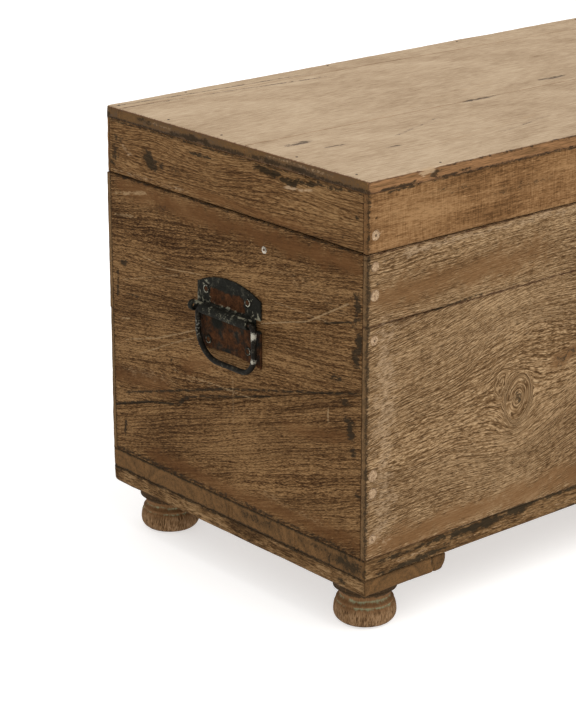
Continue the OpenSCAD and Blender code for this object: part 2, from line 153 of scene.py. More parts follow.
def mark_field(points, face, mark, raggedness):
    """1 on a mark's line, falling to 0 at its ragged radii, and to 0 below the face's skin."""
    normal, level = FACE_PLANES[face]
    flat = points[:, FACE_AXES[normal]] / mark.radii
    line = np.array(mark.points, float) / mark.radii
    nearest = np.full(len(points), 9.0)
    for start, end in zip(line, line[1:] if len(line) > 1 else line):
        run = end - start
        t = np.clip((flat - start) @ run / max(run @ run, 1e-9), 0, 1)
        nearest = np.minimum(nearest, np.linalg.norm(flat - start - t[:, None] * run, axis=1))
    if min(mark.radii) > RAGGED_RADIUS:
        nearest = nearest + raggedness
    skin = smooth(1 - np.abs(points[:, normal] - level) / MARK_DEPTH)
    return smooth(1 - nearest) * skin


def turned(marks, width, lift, kinds=("stain", "polish")):
    """The same kinds of mark for the opposite face: mirrored, and moved up by lift."""
    return [Mark(mark.kind, [(width - u, v + lift) for u, v in mark.points], mark.radii, mark.strength)
            for mark in marks if mark.kind in kinds and min(mark.radii) > RAGGED_RADIUS]


def painted(points, marks, kind):
    if not marks:
        return np.zeros(len(points))
    total = np.zeros(len(points))
    raggedness = 0.4 * fbm(points, 11, 5, 2) + 0.35 * fbm(points, 3.6, 6, 2)
    for face, face_marks in marks.items():
        for mark in face_marks:
            if mark.kind == kind:
                total = np.maximum(total, mark.strength * mark_field(points, face, mark, raggedness))
    return total


# ---------------------------------------------------------------- meshes


def new_piece(name, points, faces, body, material, attributes):
    """A smooth-shaded mesh piece from chest points, with its point attributes."""
    mesh = bpy.data.meshes.new(name)
    mesh.vertices.add(len(points))
    mesh.vertices.foreach_set("co", metres(points).astype(np.float32).ravel())
    corners = faces.shape[1]
    mesh.loops.add(faces.size)
    mesh.loops.foreach_set("vertex_index", faces.astype(np.int32).ravel())
    mesh.polygons.add(len(faces))
    mesh.polygons.foreach_set("loop_start", np.arange(0, faces.size, corners, dtype=np.int32))
    mesh.update(calc_edges=True)
    mesh.validate()
    return dress(mesh, name, body, material, attributes)


def dress(mesh, name, body, material, attributes):
    for key, values in attributes.items():
        kind, field, width = {
            "grain": ("FLOAT_VECTOR", "vector", 3),
            "rings": ("FLOAT", "value", 1),
            "polish": ("FLOAT", "value", 1),
            "marks": ("FLOAT_COLOR", "color", 4),
        }[key]
        values = np.asarray(values, np.float32).reshape(len(mesh.vertices), -1)
        if values.shape[1] < width:
            values = np.hstack([values, np.ones((len(values), width - values.shape[1]), np.float32)])
        mesh.attributes.new(key, kind, "POINT").data.foreach_set(field, values.ravel())
    mesh.polygons.foreach_set("use_smooth", np.ones(len(mesh.polygons), bool))
    mesh.materials.clear()
    mesh.materials.append(material)
    piece = bpy.data.objects.new(name, mesh)
    bpy.context.scene.collection.objects.link(piece)
    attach(piece, body)
    return piece


def point_normals(points, quads):
    """Area-weighted normals of a quad mesh."""
    a, b, c, d = (points[quads[:, i]] for i in range(4))
    face = np.cross(c - a, d - b)
    normals = np.zeros_like(points)
    for i in range(4):
        for axis in range(3):
            normals[:, axis] += np.bincount(quads[:, i], face[:, axis], len(points))
    return normals / np.maximum(np.linalg.norm(normals, axis=1, keepdims=True), 1e-9)


def shell(ticks, solid):
    """The outer quads of the solid cells of a lattice, as lattice indices and quads."""
    shape = [len(t) for t in ticks]
    quads = []
    for axis in range(3):
        u, v = [a for a in range(3) if a != axis]
        padded = np.pad(solid, [(1, 1) if a == axis else (0, 0) for a in range(3)])
        low = np.take(padded, range(0, shape[axis]), axis)
        high = np.take(padded, range(1, shape[axis] + 1), axis)
        for side, where in ((1, low & ~high), (0, high & ~low)):
            cells = np.argwhere(where)
            ring = [(0, 0), (1, 0), (1, 1), (0, 1)]
            if side == (1 if axis == 1 else 0):
                ring = ring[::-1]
            corners = []
            for du, dv in ring:
                spot = cells.copy()
                spot[:, u] += du
                spot[:, v] += dv
                corners.append((spot[:, 0] * shape[1] + spot[:, 1]) * shape[2] + spot[:, 2])
            quads.append(np.stack(corners, 1))
    quads = np.concatenate(quads)
    used, quads = np.unique(quads, return_inverse=True)
    return np.stack(np.unravel_index(used, shape), 1), quads.reshape(-1, 4)


RIM = (0.5, 1.2, 2.2, 3.6, 5.6)


def axis_ticks(low, high, step, keep=()):
    """Lattice positions along one axis: fine near both ends, even between, and at keep."""
    size = high - low
    rim = [r for r in RIM if r < size / 2 - 0.4]
    inner = size - 2 * rim[-1]
    count = max(1, round(inner / step))
    even = [rim[-1] + inner * i / count for i in range(count + 1)]
    spots = {0.0, size, *rim, *[size - r for r in rim], *even}
    wanted = [k - low for k in keep if low < k < high]
    spots = [s for s in spots if all(abs(s - k) > 0.35 for k in wanted)] + wanted
    return low + np.array(sorted(spots))


# ---------------------------------------------------------------- boards

SIDES = {"-x": (0, 0), "+x": (0, 1), "-y": (1, 0), "+y": (1, 1), "-z": (2, 0), "+z": (2, 1)}
SMALL_EDGE = 0.9
# A knot has rings of its own in its core; a swirl (core 0) only bends the grain round it
Knot = namedtuple("Knot", "along across radius squash core", defaults=(1.0,))


def round_edge(points, box, edge, radius, seed):
    """Turns the square corner along one edge of a box into an arc of a wavering radius."""
    (a, side_a), (b, side_b) = SIDES[edge[:2]], SIDES[edge[2:]]
    run = np.zeros((len(points), 3))
    run[:, 0] = points[:, 3 - a - b]
    wavering = radius * (1 + 0.4 * fbm(run, 45, seed) + 0.15 * fbm(run, 9, seed + 5))

    def inward(axis, side):
        if side:
            return points[:, axis] - box[1][axis] + wavering
        return box[0][axis] + wavering - points[:, axis]

    da, db = inward(a, side_a), inward(b, side_b)
    hit = (da > 0) & (db > 0)
    shrink = np.where(hit, np.maximum(da, db) / np.maximum(np.hypot(da, db), 1e-9), 1.0) - 1
    points[:, a] += da * shrink * (1 if side_a else -1)
    points[:, b] += db * shrink * (1 if side_b else -1)


def slanted(points, box, along, across, ends):
    """Shifts a straight lattice to edges that slope, keeping the rims' own widths."""
    t = (points[:, along] - box[0][along]) / (box[1][along] - box[0][along])
    low = ends[0][0] + t * (ends[0][1] - ends[0][0])
    high = ends[1][0] + t * (ends[1][1] - ends[1][0])
    height = box[1][across] - box[0][across]
    s = points[:, across] - box[0][across]
    rim = 8.0
    between = low + rim + (s - rim) * (high - low - 2 * rim) / (height - 2 * rim)
    points[:, across] = np.where(s <= rim, low + s, np.where(s >= height - rim, high - height + s, between))


def edge_ends(node, along, across):
    """Heights of a board's two long edges at its two ends, from its CAD points."""
    points = cad_points(node)
    low, high = span(node)
    ends = []
    for level in (low[along], high[along]):
        at_end = points[np.abs(points[:, along] - level) < 0.01, across]
        ends.append((at_end.min(), at_end.max()))
    return (ends[0][0], ends[1][0]), (ends[0][1], ends[1][1])


def grain_field(points, along, across, through, slope, knots, heart, seed):
    """Grain coordinates (along, across, through) that bend round knots, and ring distance."""
    a = points[:, along].copy()
    b = points[:, across] - slope * (points[:, along] - points[:, along].mean())
    c = points[:, through].copy()
    wander = np.stack([a, b * 4, c * 0 + seed * 31.0], 1)
    b = b + 7 * fbm(wander, 260, seed) + 1.6 * fbm(wander, 60, seed + 3)
    for knot in knots:
        home_a, home_b = knot.along, knot.across - slope * (knot.along - points[:, along].mean())
        da, db = (a - home_a) / knot.squash, b - home_b
        r = np.hypot(da, db) + 1e-6
        floor = knot.radius * (1.0 if knot.core else 1.8)
        pushed = db * (1 - knot.radius**2 / np.maximum(r, floor) ** 2)
        inside = smooth((knot.radius * 1.25 - r) / (knot.radius * 0.5)) * knot.core
        b = home_b + pushed * (1 - inside) + r * inside * 1.3
        a = a * (1 - inside) + (home_a + np.arctan2(db, da) * 6) * inside
    near, far, middle = heart
    mean = points[:, along].mean()
    depth = near + (far - near) * (a - mean + 500) / 1000
    rings = np.hypot(b - middle, depth + c * 0.6)
    grain = np.stack([a + c * 0.4, b, c], 1)
    return grain, rings


def board(
    node, body, slot, material, along, step, edges=(), slope=None, lap=None, marks=None, knots=(),
    grain_slope=0.0, heart=(40, 140, 60), calm=(), relief=0.45, sides=0.0, joined=(),
    keep=((), (), ()), seed=1,
):
    """Stands for a CAD board: worn edges, wavering faces, dents, and grain that flows round knots."""
    low, high = span(node)
    through = int(np.argmin(high - low))
    across = 3 - along - through
    ends = edge_ends(node, along, across) if slope else None
    if slope:
        low, high = low.copy(), high.copy()
        low[across], high[across] = np.mean(ends[0]), np.mean(ends[1])
    steps = {along: step[0], across: step[1], through: 3.2}
    ticks = [axis_ticks(low[a], high[a], steps[a], keep[a]) for a in range(3)]
    middle = [(t[1:] + t[:-1]) / 2 for t in ticks]
    solid = np.ones([len(m) for m in middle], bool)
    if lap:
        past = (middle[0] < END_T) | (middle[0] > LENGTH - END_T)
        behind = middle[1] > TONGUE if lap == "front" else middle[1] < DEPTH - TONGUE
        solid[np.ix_(past, behind, np.ones(len(middle[2]), bool))] = False
    index, quads = shell(ticks, solid)
    points = np.stack([ticks[a][index[:, a]] for a in range(3)], 1)

    # How close each point is to an edge of the box, before anything moves
    low_gap, high_gap = points - low, high - points
    for side in joined:
        axis, far = SIDES[side]
        (high_gap if far else low_gap)[:, axis] += 4
    gaps = np.sort(np.minimum(low_gap, high_gap), axis=1)
    edge = np.exp(-gaps[:, 1] / 2.5)

    radii = {a + b: SMALL_EDGE for a in SIDES for b in SIDES if SIDES[a][0] < SIDES[b][0]}
    radii.update(edges)
    for i, (name, radius) in enumerate(sorted(radii.items())):
        round_edge(points, (low, high), name, radius, seed * 7 + i)
    if slope:
        slanted(points, (low, high), along, across, ends)

    grain, rings = grain_field(points, along, across, through, grain_slope, knots, heart, seed)
    normals = point_normals(points, quads)
    free = np.ones(len(points))
    for side in calm:
        axis, sign = SIDES[side]
        free -= np.clip(normals[:, axis] * (1 if sign else -1), 0, 1)
    swell = 0.5 + 0.5 * fbm(np.stack([grain[:, 0], grain[:, 1] * 9, grain[:, 2]], 1), 110, seed + 40)
    ripple = 0.5 + 0.5 * fbm(np.stack([grain[:, 0], grain[:, 1] * 12, grain[:, 2]], 1), 60, seed + 80)
    depth = relief * (0.6 * swell + 0.4 * ripple) * np.clip(free, 0, 1)
    marks = marks or {}
    polish = painted(points, marks, "polish")
    depth = depth * (1 - 0.5 * polish) + painted(points, marks, "dent")
    end = smooth((np.abs(normals[:, along]) - 0.45) / 0.4)
    end = np.maximum(end, sides * smooth((np.abs(normals[:, across]) - 0.45) / 0.4))
    attributes = {
        "grain": grain,
        "rings": rings,
        "polish": polish,
        "marks": np.stack([painted(points, marks, "stain"), painted(points, marks, "pale"), end, edge], 1),
    }
    points = points - normals * depth[:, None]
    piece = new_piece("worn_" + node, points, quads, body, material, attributes)
    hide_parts(node)
    return piece


# ---------------------------------------------------------------- node materials


class Shader:
    """A small helper that builds one Principled material out of nodes."""

    def __init__(self, name):
        self.material = bpy.data.materials.new(name)
        self.material.use_nodes = True
        self.tree = self.material.node_tree
        self.surface = self.tree.nodes["Principled BSDF"]

    def node(self, kind, **settings):
        made = self.tree.nodes.new("ShaderNode" + kind)
        for key, value in settings.items():
            setattr(made, key, value)
        return made

    def feed(self, socket, value):
        if isinstance(value, bpy.types.NodeSocket):
            self.tree.links.new(value, socket)
        else:
            socket.default_value = value

    def attribute(self, name, output):
        return self.node("Attribute", attribute_name=name).outputs[output]

    def split(self, value):
        made = self.node("SeparateXYZ")
        self.feed(made.inputs[0], value)
        return made.outputs

    def join(self, *values):
        made = self.node("CombineXYZ")
        for socket, value in zip(made.inputs, values):
            self.feed(socket, value)
        return made.outputs[0]

    def maths(self, operation, a, b=0.0):
        made = self.node("Math", operation=operation)
        self.feed(made.inputs[0], a)
        self.feed(made.inputs[1], b)
        return made.outputs[0]

    def total(self, *pairs, start=0.0):
        """start plus the weighted sum of (value, weight) pairs."""
        result = start
        for value, weight in pairs:
            made = self.node("Math", operation="MULTIPLY_ADD")
            self.feed(made.inputs[0], value)
            self.feed(made.inputs[1], weight)
            self.feed(made.inputs[2], result)
            result = made.outputs[0]
        return result

    def stretch(self, vector, scale, shift=(0, 0, 0)):
        made = self.node("Mapping")
        self.feed(made.inputs["Vector"], vector)
        self.feed(made.inputs["Scale"], scale)
        self.feed(made.inputs["Location"], shift)
        return made.outputs[0]

    def noise(self, vector, detail=3.0, roughness=0.55, distortion=0.0, scale=1.0):
        made = self.node("TexNoise")
        self.feed(made.inputs["Vector"], vector)
        settings = {"Scale": scale, "Detail": detail, "Roughness": roughness, "Distortion": distortion}
        for key, value in settings.items():
            self.feed(made.inputs[key], value)
        return made.outputs[0]

    def step(self, value, low, high):
        made = self.node("MapRange", interpolation_type="SMOOTHSTEP")
        self.feed(made.inputs["Value"], value)
        self.feed(made.inputs["From Min"], low)
        self.feed(made.inputs["From Max"], high)
        return made.outputs[0]

    def ramp(self, value, stops):
        made = self.node("ValToRGB")
        self.feed(made.inputs[0], value)
        elements = made.color_ramp.elements
        while len(elements) < len(stops):
            elements.new(0.5)
        for element, (place, colour) in zip(elements, stops):
            element.position = place
            element.color = (*colour, 1)
        return made.outputs[0]

    def mix(self, amount, a, b):
        made = self.node("Mix", data_type="RGBA")
        self.feed(made.inputs[0], amount)
        for socket, value in ((made.inputs[6], a), (made.inputs[7], b)):
            self.feed(socket, (*value, 1) if isinstance(value, tuple) else value)
        return made.outputs[2]

    def finish(self, colour, roughness, height, bump, distance, **constants):
        self.feed(self.surface.inputs["Base Color"], colour)
        self.feed(self.surface.inputs["Roughness"], roughness)
        relief = self.node("Bump")
        self.feed(relief.inputs["Strength"], bump)
        self.feed(relief.inputs["Distance"], distance)
        self.feed(relief.inputs["Height"], height)
        self.feed(self.surface.inputs["Normal"], relief.outputs[0])
        for key, value in constants.items():
            self.feed(self.surface.inputs[key.replace("_", " ")], value)
        return self.material


def wood(
    name, dark, mid, light, stain=(0.030, 0.020, 0.0105), pale=(0.40, 0.28, 0.17), end_face=None,
    end_stain=None, rim=None, side_face=None, run=0.09, across=0.85, bands=0.5, fibres=1.3, fine=1.7,
    lines=0.5, spacing=3.6,
    blotches=0.6, ripple=0.0, pores=0.6, pore_cover=0.57, edge=0.6, bump=0.7, rough=0.8,
):
    """Weathered wood on the pieces' grain, rings, polish and marks attributes."""
    s = Shader(name)
    shadow = tuple(c * 0.6 for c in dark)
    end_face = end_face or tuple(c * 0.8 for c in mid)
    grain = s.attribute("grain", "Vector")
    rings = s.attribute("rings", "Fac")
    polish = s.attribute("polish", "Fac")
    source = s.node("Attribute", attribute_name="marks")
    paint = s.node("SeparateColor")
    s.feed(paint.inputs[0], source.outputs["Color"])
    stained, paled, ended = paint.outputs
    edged = source.outputs["Alpha"]
    along, over = s.split(grain)[:2]

    ring_place = s.join(s.maths("MULTIPLY", along, 0.0022), s.maths("MULTIPLY", rings, 0.13), 0.0)
    band = s.noise(ring_place, 4.0, 0.6)
    fibre = s.noise(s.stretch(grain, (run, across, 0.4)), 3.0, 0.6, 0.5)
    hair = s.noise(s.stretch(grain, (run * 3.0, across * 2.5, 1.2), (7, 3, 1)), 2.0, 0.6, 0.3)
    dash = s.noise(s.stretch(grain, (run * 2.0, across * 1.7, 0.8), (3, 9, 5)), 1.5, 0.5)
    dash = s.step(dash, pore_cover, pore_cover + 0.08)
    blotch = s.noise(s.stretch(grain, (0.008, 0.022, 0.022), (1, 5, 2)), 4.0, 0.6)
    crumble = s.noise(s.stretch(grain, (0.13, 0.3, 0.3), (4, 4, 8)), 5.0, 0.75)
    cross = s.noise(s.stretch(grain, (0.55, 0.06, 0.06), (2, 6, 3)), 2.0, 0.6)
    rugged = s.total((polish, -0.75), start=1.0)
    # Growth lines: dark lines that follow the grain at an uneven spacing, broken by the fibres
    drift = s.noise(s.stretch(grain, (0.0045, 0.035, 0.02), (6, 2, 7)), 3.0, 0.6)
    phase = s.total((over, 2 * math.pi / spacing), (drift, 40.0), (fibre, 4.0))
    wave = s.total((s.maths("SINE", phase), 0.5), start=0.5)
    coarse = s.total((s.maths("SINE", s.maths("MULTIPLY", phase, 0.43)), 0.5), start=0.5)
    line = s.step(s.total((wave, 0.6), (coarse, 0.3), (hair, 1.5), start=-0.65), 0.35, 1.0)

    detail = s.total((fibre, fibres), (hair, fine), (cross, ripple), start=-0.5 * (fibres + fine + ripple))
    detail = s.total((detail, 1.0), (line, -lines), start=0.4 * lines)
    detail = s.maths("MULTIPLY", detail, rugged)
    tone = s.total((band, bands), (blotch, blotches), (detail, 1.0), start=0.5 - 0.5 * (bands + blotches))
    colour = s.ramp(tone, [(0.2, dark), (0.5, mid), (0.82, light)])
    rubbed_tone = (mid[0] * 0.86, mid[1] * 0.7, mid[2] * 0.57)
    colour = s.mix(s.maths("MULTIPLY", polish, 0.65), colour, rubbed_tone)
    colour = s.mix(s.maths("MULTIPLY", s.maths("MULTIPLY", dash, pores), rugged), colour, shadow)

    end_tone = s.total((crumble, 0.8), (hair, 0.6), (band, 0.7), start=-0.55)
    end_colour = s.ramp(end_tone, [(0.2, stain), (0.5, end_face), (0.8, tuple(c * 1.6 for c in end_face))])
    if side_face:
        side_light = tuple(c * 1.5 for c in side_face)
        side_colour = s.ramp(tone, [(0.2, end_face), (0.5, side_face), (0.8, side_light)])
        end_colour = s.mix(s.step(ended, 0.65, 0.95), side_colour, end_colour)
    colour = s.mix(s.step(ended, 0.0, 0.5), colour, end_colour)
    worn = s.step(s.total((edged, 1.0), (crumble, 2.4), start=-1.45), 0.1, 0.8)
    colour = s.mix(s.maths("MULTIPLY", worn, edge), colour, rim or shadow)
    # Stain marks: dark stains and joints, and by the lid's back corner painted shade.
    ragged = s.step(s.total((stained, 1.0), (crumble, 3.4), (hair, 0.9), start=-2.15), 0.35, 0.62)
    ragged = s.maths("MULTIPLY", ragged, s.step(stained, 0.0, 0.3))
    if end_stain:
        stain = s.mix(s.step(ended, 0.3, 0.6), stain, end_stain)
    colour = s.mix(s.maths("MULTIPLY", ragged, 0.85), colour, stain)
    colour = s.mix(s.maths("MULTIPLY", stained, 0.3), colour, stain)
    # Pale marks: worn and scratched wood, and on the batten's front end a painted highlight.
    wear_and_glint = s.step(s.total((paled, 1.0), (hair, 1.2), (crumble, 1.5), start=-1.35), 0.3, 0.85)
    wear_and_glint = s.maths("MULTIPLY", wear_and_glint, s.step(paled, 0.0, 0.25))
    colour = s.mix(s.maths("MULTIPLY", wear_and_glint, 0.75), colour, pale)

    height = s.total((fibre, 0.8), (hair, 0.8), (dash, -0.3), (band, 0.3), (cross, 0.3 * ripple),
                     (line, -0.5 * lines))
    height = s.total((s.maths("MULTIPLY", height, rugged), 1.0), (ragged, -0.25), (worn, -0.15))
    roughness = s.total((fibre, 0.2), (dash, 0.15), (polish, -0.1), start=rough - 0.1)
    return s.finish(colour, roughness, height, bump, 0.0008, Specular_IOR_Level=0.05)


def iron(
    name, black, grey, rust, rust_cover=0.5, rough=0.5, bump=0.5, shine=0.08, bare_metal_and_glint=(0.2, 0.19, 0.15),
):
    """Blackened iron with rust and worn, bared metal, and painted highlights, on the marks attribute (rust,
    bright, dark).
    """
    s = Shader(name)
    place = s.node("TexCoord").outputs["Object"]
    paint = s.node("SeparateColor")
    s.feed(paint.inputs[0], s.attribute("marks", "Color"))
    rusted, bright, sooty = paint.outputs
    lump = s.noise(place, 4.0, 0.6, scale=170.0)
    pit = s.noise(place, 4.0, 0.65, scale=600.0)
    cloud = s.noise(place, 3.0, 0.6, scale=60.0)
    worn = s.step(s.total((lump, 0.9), (pit, 0.6), start=-0.15), 0.6, 0.85)
    colour = s.mix(worn, black, grey)
    scale = s.step(s.total((rusted, 1.0), (cloud, 0.9), (lump, 0.6), start=-rust_cover), 0.35, 0.75)
    bright_rust = tuple(c * 2.1 for c in rust)
    rust_tone = s.ramp(s.total((lump, 0.8), (pit, 0.7), start=-0.25),
                       [(0.3, tuple(c * 0.4 for c in rust)), (0.52, rust), (0.8, bright_rust)])
    colour = s.mix(scale, colour, rust_tone)
    soot = s.step(s.total((sooty, 1.0), (lump, 0.8), start=-0.4), 0.25, 0.6)
    colour = s.mix(s.maths("MULTIPLY", soot, s.step(sooty, 0.0, 0.1)), colour, black)
    # Bright marks: worn metal on the plates and screws, and painted highlights on the bail wire, the nail
    # head and the plate's lip.
    bare_and_glint = s.step(s.total((bright, 1.0), (pit, 1.6), start=-0.95), 0.15, 0.65)
    bare_and_glint = s.maths("MULTIPLY", bare_and_glint, s.step(bright, 0.0, 0.12))
    colour = s.mix(bare_and_glint, colour, bare_metal_and_glint)
    height = s.total((lump, 0.8), (pit, 0.5), (scale, 0.12))
    roughness = s.total((pit, 0.3), (scale, 0.25), (bare_and_glint, -0.1), start=rough - 0.15)
    return s.finish(colour, roughness, height, bump, 0.0008, Specular_IOR_Level=shine)


# ---------------------------------------------------------------- the woods and irons

FRONT_WOOD = wood("front_board_wood", (0.062, 0.031, 0.0115), (0.18, 0.104, 0.0465), (0.39, 0.262, 0.142),
                  stain=(0.04, 0.0275, 0.0145), across=0.8, run=0.055, bands=0.4, fibres=1.3, fine=2.2,
                  lines=0.24, spacing=2.7, rim=(0.055, 0.024, 0.012), edge=0.85, bump=0.9)
END_WOOD = wood("end_board_wood", (0.030, 0.0133, 0.0043), (0.113, 0.0555, 0.0198), (0.252, 0.145, 0.062),
                stain=(0.022, 0.0155, 0.0085), pale=(0.30, 0.2, 0.105), across=0.85, run=0.07, bands=0.7,
                fibres=1.2, fine=2.3, lines=0.26, spacing=3.6, blotches=1.0, bump=0.9)
RAIL_WOOD = wood("rail_wood", (0.08, 0.038, 0.0135), (0.182, 0.092, 0.036), (0.29, 0.165, 0.074),
                 across=0.5, run=0.05, fibres=0.7, fine=1.3, lines=0.1, spacing=5.0, bands=0.7, blotches=1.3,
                 ripple=0.65, bump=0.5, pores=0.3)
END_RAIL_WOOD = wood("end_rail_wood", (0.038, 0.0175, 0.006), (0.13, 0.064, 0.0232), (0.255, 0.149, 0.064),
                     stain=(0.022, 0.0155, 0.0085), across=0.75, run=0.045, bands=0.7, fibres=0.9, fine=1.9,
                     lines=0.25, spacing=2.8, bump=0.8)
TOP_WOOD = wood("top_board_wood", (0.25, 0.170, 0.102), (0.395, 0.290, 0.19), (0.49, 0.38, 0.262),
                stain=(0.075, 0.055, 0.042), end_stain=(0.026, 0.017, 0.009), end_face=(0.1, 0.054, 0.021),
                rim=(0.085, 0.042, 0.024),
                side_face=(0.2, 0.104, 0.046), across=0.5, run=0.02, fibres=0.7, fine=1.4, lines=0.07,
                spacing=5.0, bands=0.5, blotches=0.5, bump=0.3, pores=0.2, pore_cover=0.62, edge=0.85)
BASE_WOOD = wood("base_wood", (0.040, 0.020, 0.0072), (0.128, 0.069, 0.0275), (0.26, 0.160, 0.076),
                 stain=(0.024, 0.0175, 0.0095), end_face=(0.122, 0.064, 0.025), across=0.7, run=0.05,
                 bands=0.5, fibres=1.0, fine=1.6, lines=0.2, spacing=3.0, bump=0.7)
FOOT_WOOD = wood("foot_wood", (0.05, 0.024, 0.0095), (0.19, 0.108, 0.051), (0.34, 0.215, 0.12),
                 pale=(0.235, 0.255, 0.155), across=0.42, run=0.04, fibres=0.9, fine=1.1, lines=0.0,
                 bands=0.0, bump=0.6)
PLUG_WOOD = wood("plug_wood", (0.18, 0.11, 0.060), (0.34, 0.228, 0.135), (0.50, 0.36, 0.23),
                 stain=(0.10, 0.065, 0.040), across=0.5, run=0.3, lines=0.0, edge=0.25, bump=0.5, pores=0.2)

# On the bail wire and the nail head, the bright metal colour is that of painted highlights.
BAIL_IRON = iron("bail_iron", (0.008, 0.0066, 0.0045), (0.05, 0.044, 0.031), (0.09, 0.032, 0.015),
                 rust_cover=1.15, rough=0.55, shine=0.06, bare_metal_and_glint=(0.38, 0.36, 0.29))
PLATE_IRON = iron("plate_iron", (0.0085, 0.0082, 0.0058), (0.05, 0.047, 0.034), (0.043, 0.0172, 0.0066),
                  rust_cover=0.95, rough=0.65, bump=0.9, shine=0.05, bare_metal_and_glint=(0.17, 0.16, 0.115))
SCREW_IRON = iron("screw_iron", (0.0085, 0.0082, 0.0058), (0.05, 0.047, 0.034), (0.043, 0.0172, 0.0066),
                  rust_cover=0.95, rough=0.65, bump=0.9, shine=0.05, bare_metal_and_glint=(0.36, 0.34, 0.26))
NAIL_IRON = iron("nail_iron", (0.02, 0.017, 0.014), (0.1, 0.09, 0.08), (0.09, 0.035, 0.015),
                 rust_cover=0.5, rough=0.7, bare_metal_and_glint=(0.5, 0.45, 0.37))
HINGE_IRON = iron("hinge_iron", (0.011, 0.010, 0.0085), (0.05, 0.047, 0.04), (0.055, 0.022, 0.0095),
                  rust_cover=0.8, rough=0.6, bump=0.7)

# ---------------------------------------------------------------- marks and knots

FRONT_MARKS = face_marks(
    stain=[
        ([(125, 93), (420, 93)], (14, 2.6), 0.9), ([(560, 94), (700, 93)], (22, 6), 0.8),
        ([(820, 93), (1010, 94)], (16, 5), 0.7), ([(1, 96), (1, 418)], (4.5, 14), 0.58),
        ([(96, 345), (125, 346), (160, 348)], (16, 1.8), 0.7), ([(9, 342), (96, 344)], (12, 1.2), 0.35),
        ([(163, 348), (420, 352)], (30, 1.3), 0.3), ([(620, 345), (760, 345)], (30, 2), 0.6),
        ([(14, 389)], (1.9, 1.9), 1.0), ([(282, 248), (300, 254)], (14, 12), 0.42),
        ([(219, 226), (222, 216)], (4, 6), 0.8), ([(640, 190), (660, 186)], (10, 5), 0.6),
        ([(905, 286)], (7, 6), 0.7),
    ],
    polish=[
        ([(276, 247), (300, 254)], (13, 13), 1.0), ([(30, 106), (400, 110), (1000, 108)], (60, 20), 0.9),
        ([(40, 374), (210, 376)], (70, 24), 0.75), ([(430, 372), (470, 376)], (60, 16), 0.6),
    ],
    pale=[
        ([(8, 338), (80, 338)], (12, 3), 0.5), ([(35, 413), (200, 415), (520, 414)], (30, 8), 0.6),
        ([(24, 120), (26, 330)], (30, 40), 0.56), ([(100, 300), (330, 300)], (60, 30), 0.3),
        *[([(11, z)], (9, 9), 0.45) for z in (405, 375, 329, 184, 165, 117)],
    ],
    dent=[
        ([(219, 223)], (9, 16), 1.2), ([(196, 231)], (5, 8), 0.8),
        ([(9, 343), (163, 348)], (20, 2.0), 0.6),
    ],
)
FRONT_KNOTS = [Knot(214, 232, 40, 1.1, 0.0), Knot(219, 223, 17, 1.1), Knot(193, 232, 7, 1.1),
               Knot(272, 252, 16, 1.9, 0.0), Knot(56, 206, 13, 1.8, 0.0), Knot(652, 190, 13, 1.2),
               Knot(905, 286, 9, 1.3), Knot(430, 300, 10, 1.8, 0.0)]

LEFT_MARKS = face_marks(
    stain=[
        ([(15, 372), (17, 349)], (9, 12), 0.75), ([(13, 330), (18, 302)], (11, 12), 0.85),
        ([(27, 238), (23, 224)], (10, 9), 0.85), ([(20, 208)], (8, 9), 0.75), ([(32, 259)], (14, 8), 0.8),
        ([(42, 281)], (20, 7), 0.75), ([(12, 161)], (10, 7), 0.85), ([(401, 320)], (12, 5), 0.9),
        ([(413, 308), (414, 280)], (3, 6), 0.7), ([(396, 286), (372, 287)], (6, 2.0), 0.6),
        ([(404, 130), (406, 116)], (4, 7), 0.8), ([(427, 398), (427, 100)], (5, 20), 0.45),
        ([(434, 144), (358, 168), (305, 179)], (8, 1.7), 0.9),
        ([(305, 181), (289, 193), (199, 218), (150, 232)], (8, 1.6), 0.7),
        ([(402, 167), (321, 191), (216, 222), (102, 250), (10, 273)], (8, 1.5), 0.75),
        ([(410, 419), (20, 419)], (12, 3), 0.45), ([(319, 228)], (3.8, 4.8), 1.0),
        ([(62, 335), (26, 345)], (5, 1.4), 0.9), ([(425, 96), (20, 96)], (10, 4), 0.55),
        ([(330, 398)], (30, 9), 0.3),
    ],
    dent=[
        ([(319, 228)], (3.4, 4.2), 2.0), ([(62, 335), (26, 345)], (4, 1.5), 1.0),
        ([(164, 309), (90, 330), (28, 364)], (3, 1.6), 0.25), ([(159, 390)], (5.5, 5.5), 1.0),
    ],
    polish=[
        ([(380, 408), (200, 404), (30, 404)], (50, 17), 0.95),
        ([(340, 106), (180, 104), (30, 110)], (40, 16), 0.8), ([(290, 228), (262, 240)], (20, 13), 0.85),
        ([(420, 185), (330, 196)], (20, 18), 0.7), ([(40, 220), (110, 205)], (30, 14), 0.6),
    ],
    pale=[
        ([(420, 397), (360, 409)], (8, 3.4), 0.75), ([(410, 374), (384, 378)], (12, 2.6), 0.65),
        ([(404, 196), (318, 203)], (22, 13), 0.42), ([(150, 118), (70, 112)], (30, 9), 0.4),
        ([(366, 336), (320, 332), (265, 339)], (3, 1.6), 0.85), ([(141, 338), (55, 337)], (3, 1.5), 0.8),
        ([(164, 309), (90, 330), (28, 364)], (2.6, 1.6), 0.9),
        ([(402, 230), (340, 248), (276, 273)], (2.6, 1.6), 0.95),
        ([(376, 220), (320, 246), (276, 265)], (2.6, 1.5), 0.85),
        ([(405, 300), (300, 330)], (2.6, 1.5), 0.7),
        ([(318, 219), (285, 213), (243, 216)], (4, 2.0), 0.6),
        ([(289, 217), (240, 220), (177, 221)], (3.4, 1.7), 0.9),
        ([(407, 254), (394, 257)], (2.6, 1.8), 1.0), ([(211, 238), (212, 184)], (1.7, 4), 0.6),
        ([(58, 243), (57, 228)], (2.2, 4), 0.95), ([(120, 374), (40, 352)], (60, 12), 0.32),
    ],
)
LEFT_KNOTS_LOW = [Knot(120, 150, 12, 2.4, 0.0)]
LEFT_KNOTS_HIGH = [Knot(286, 226, 13, 1.8, 0.0), Knot(330, 372, 12, 2.2, 0.0)]

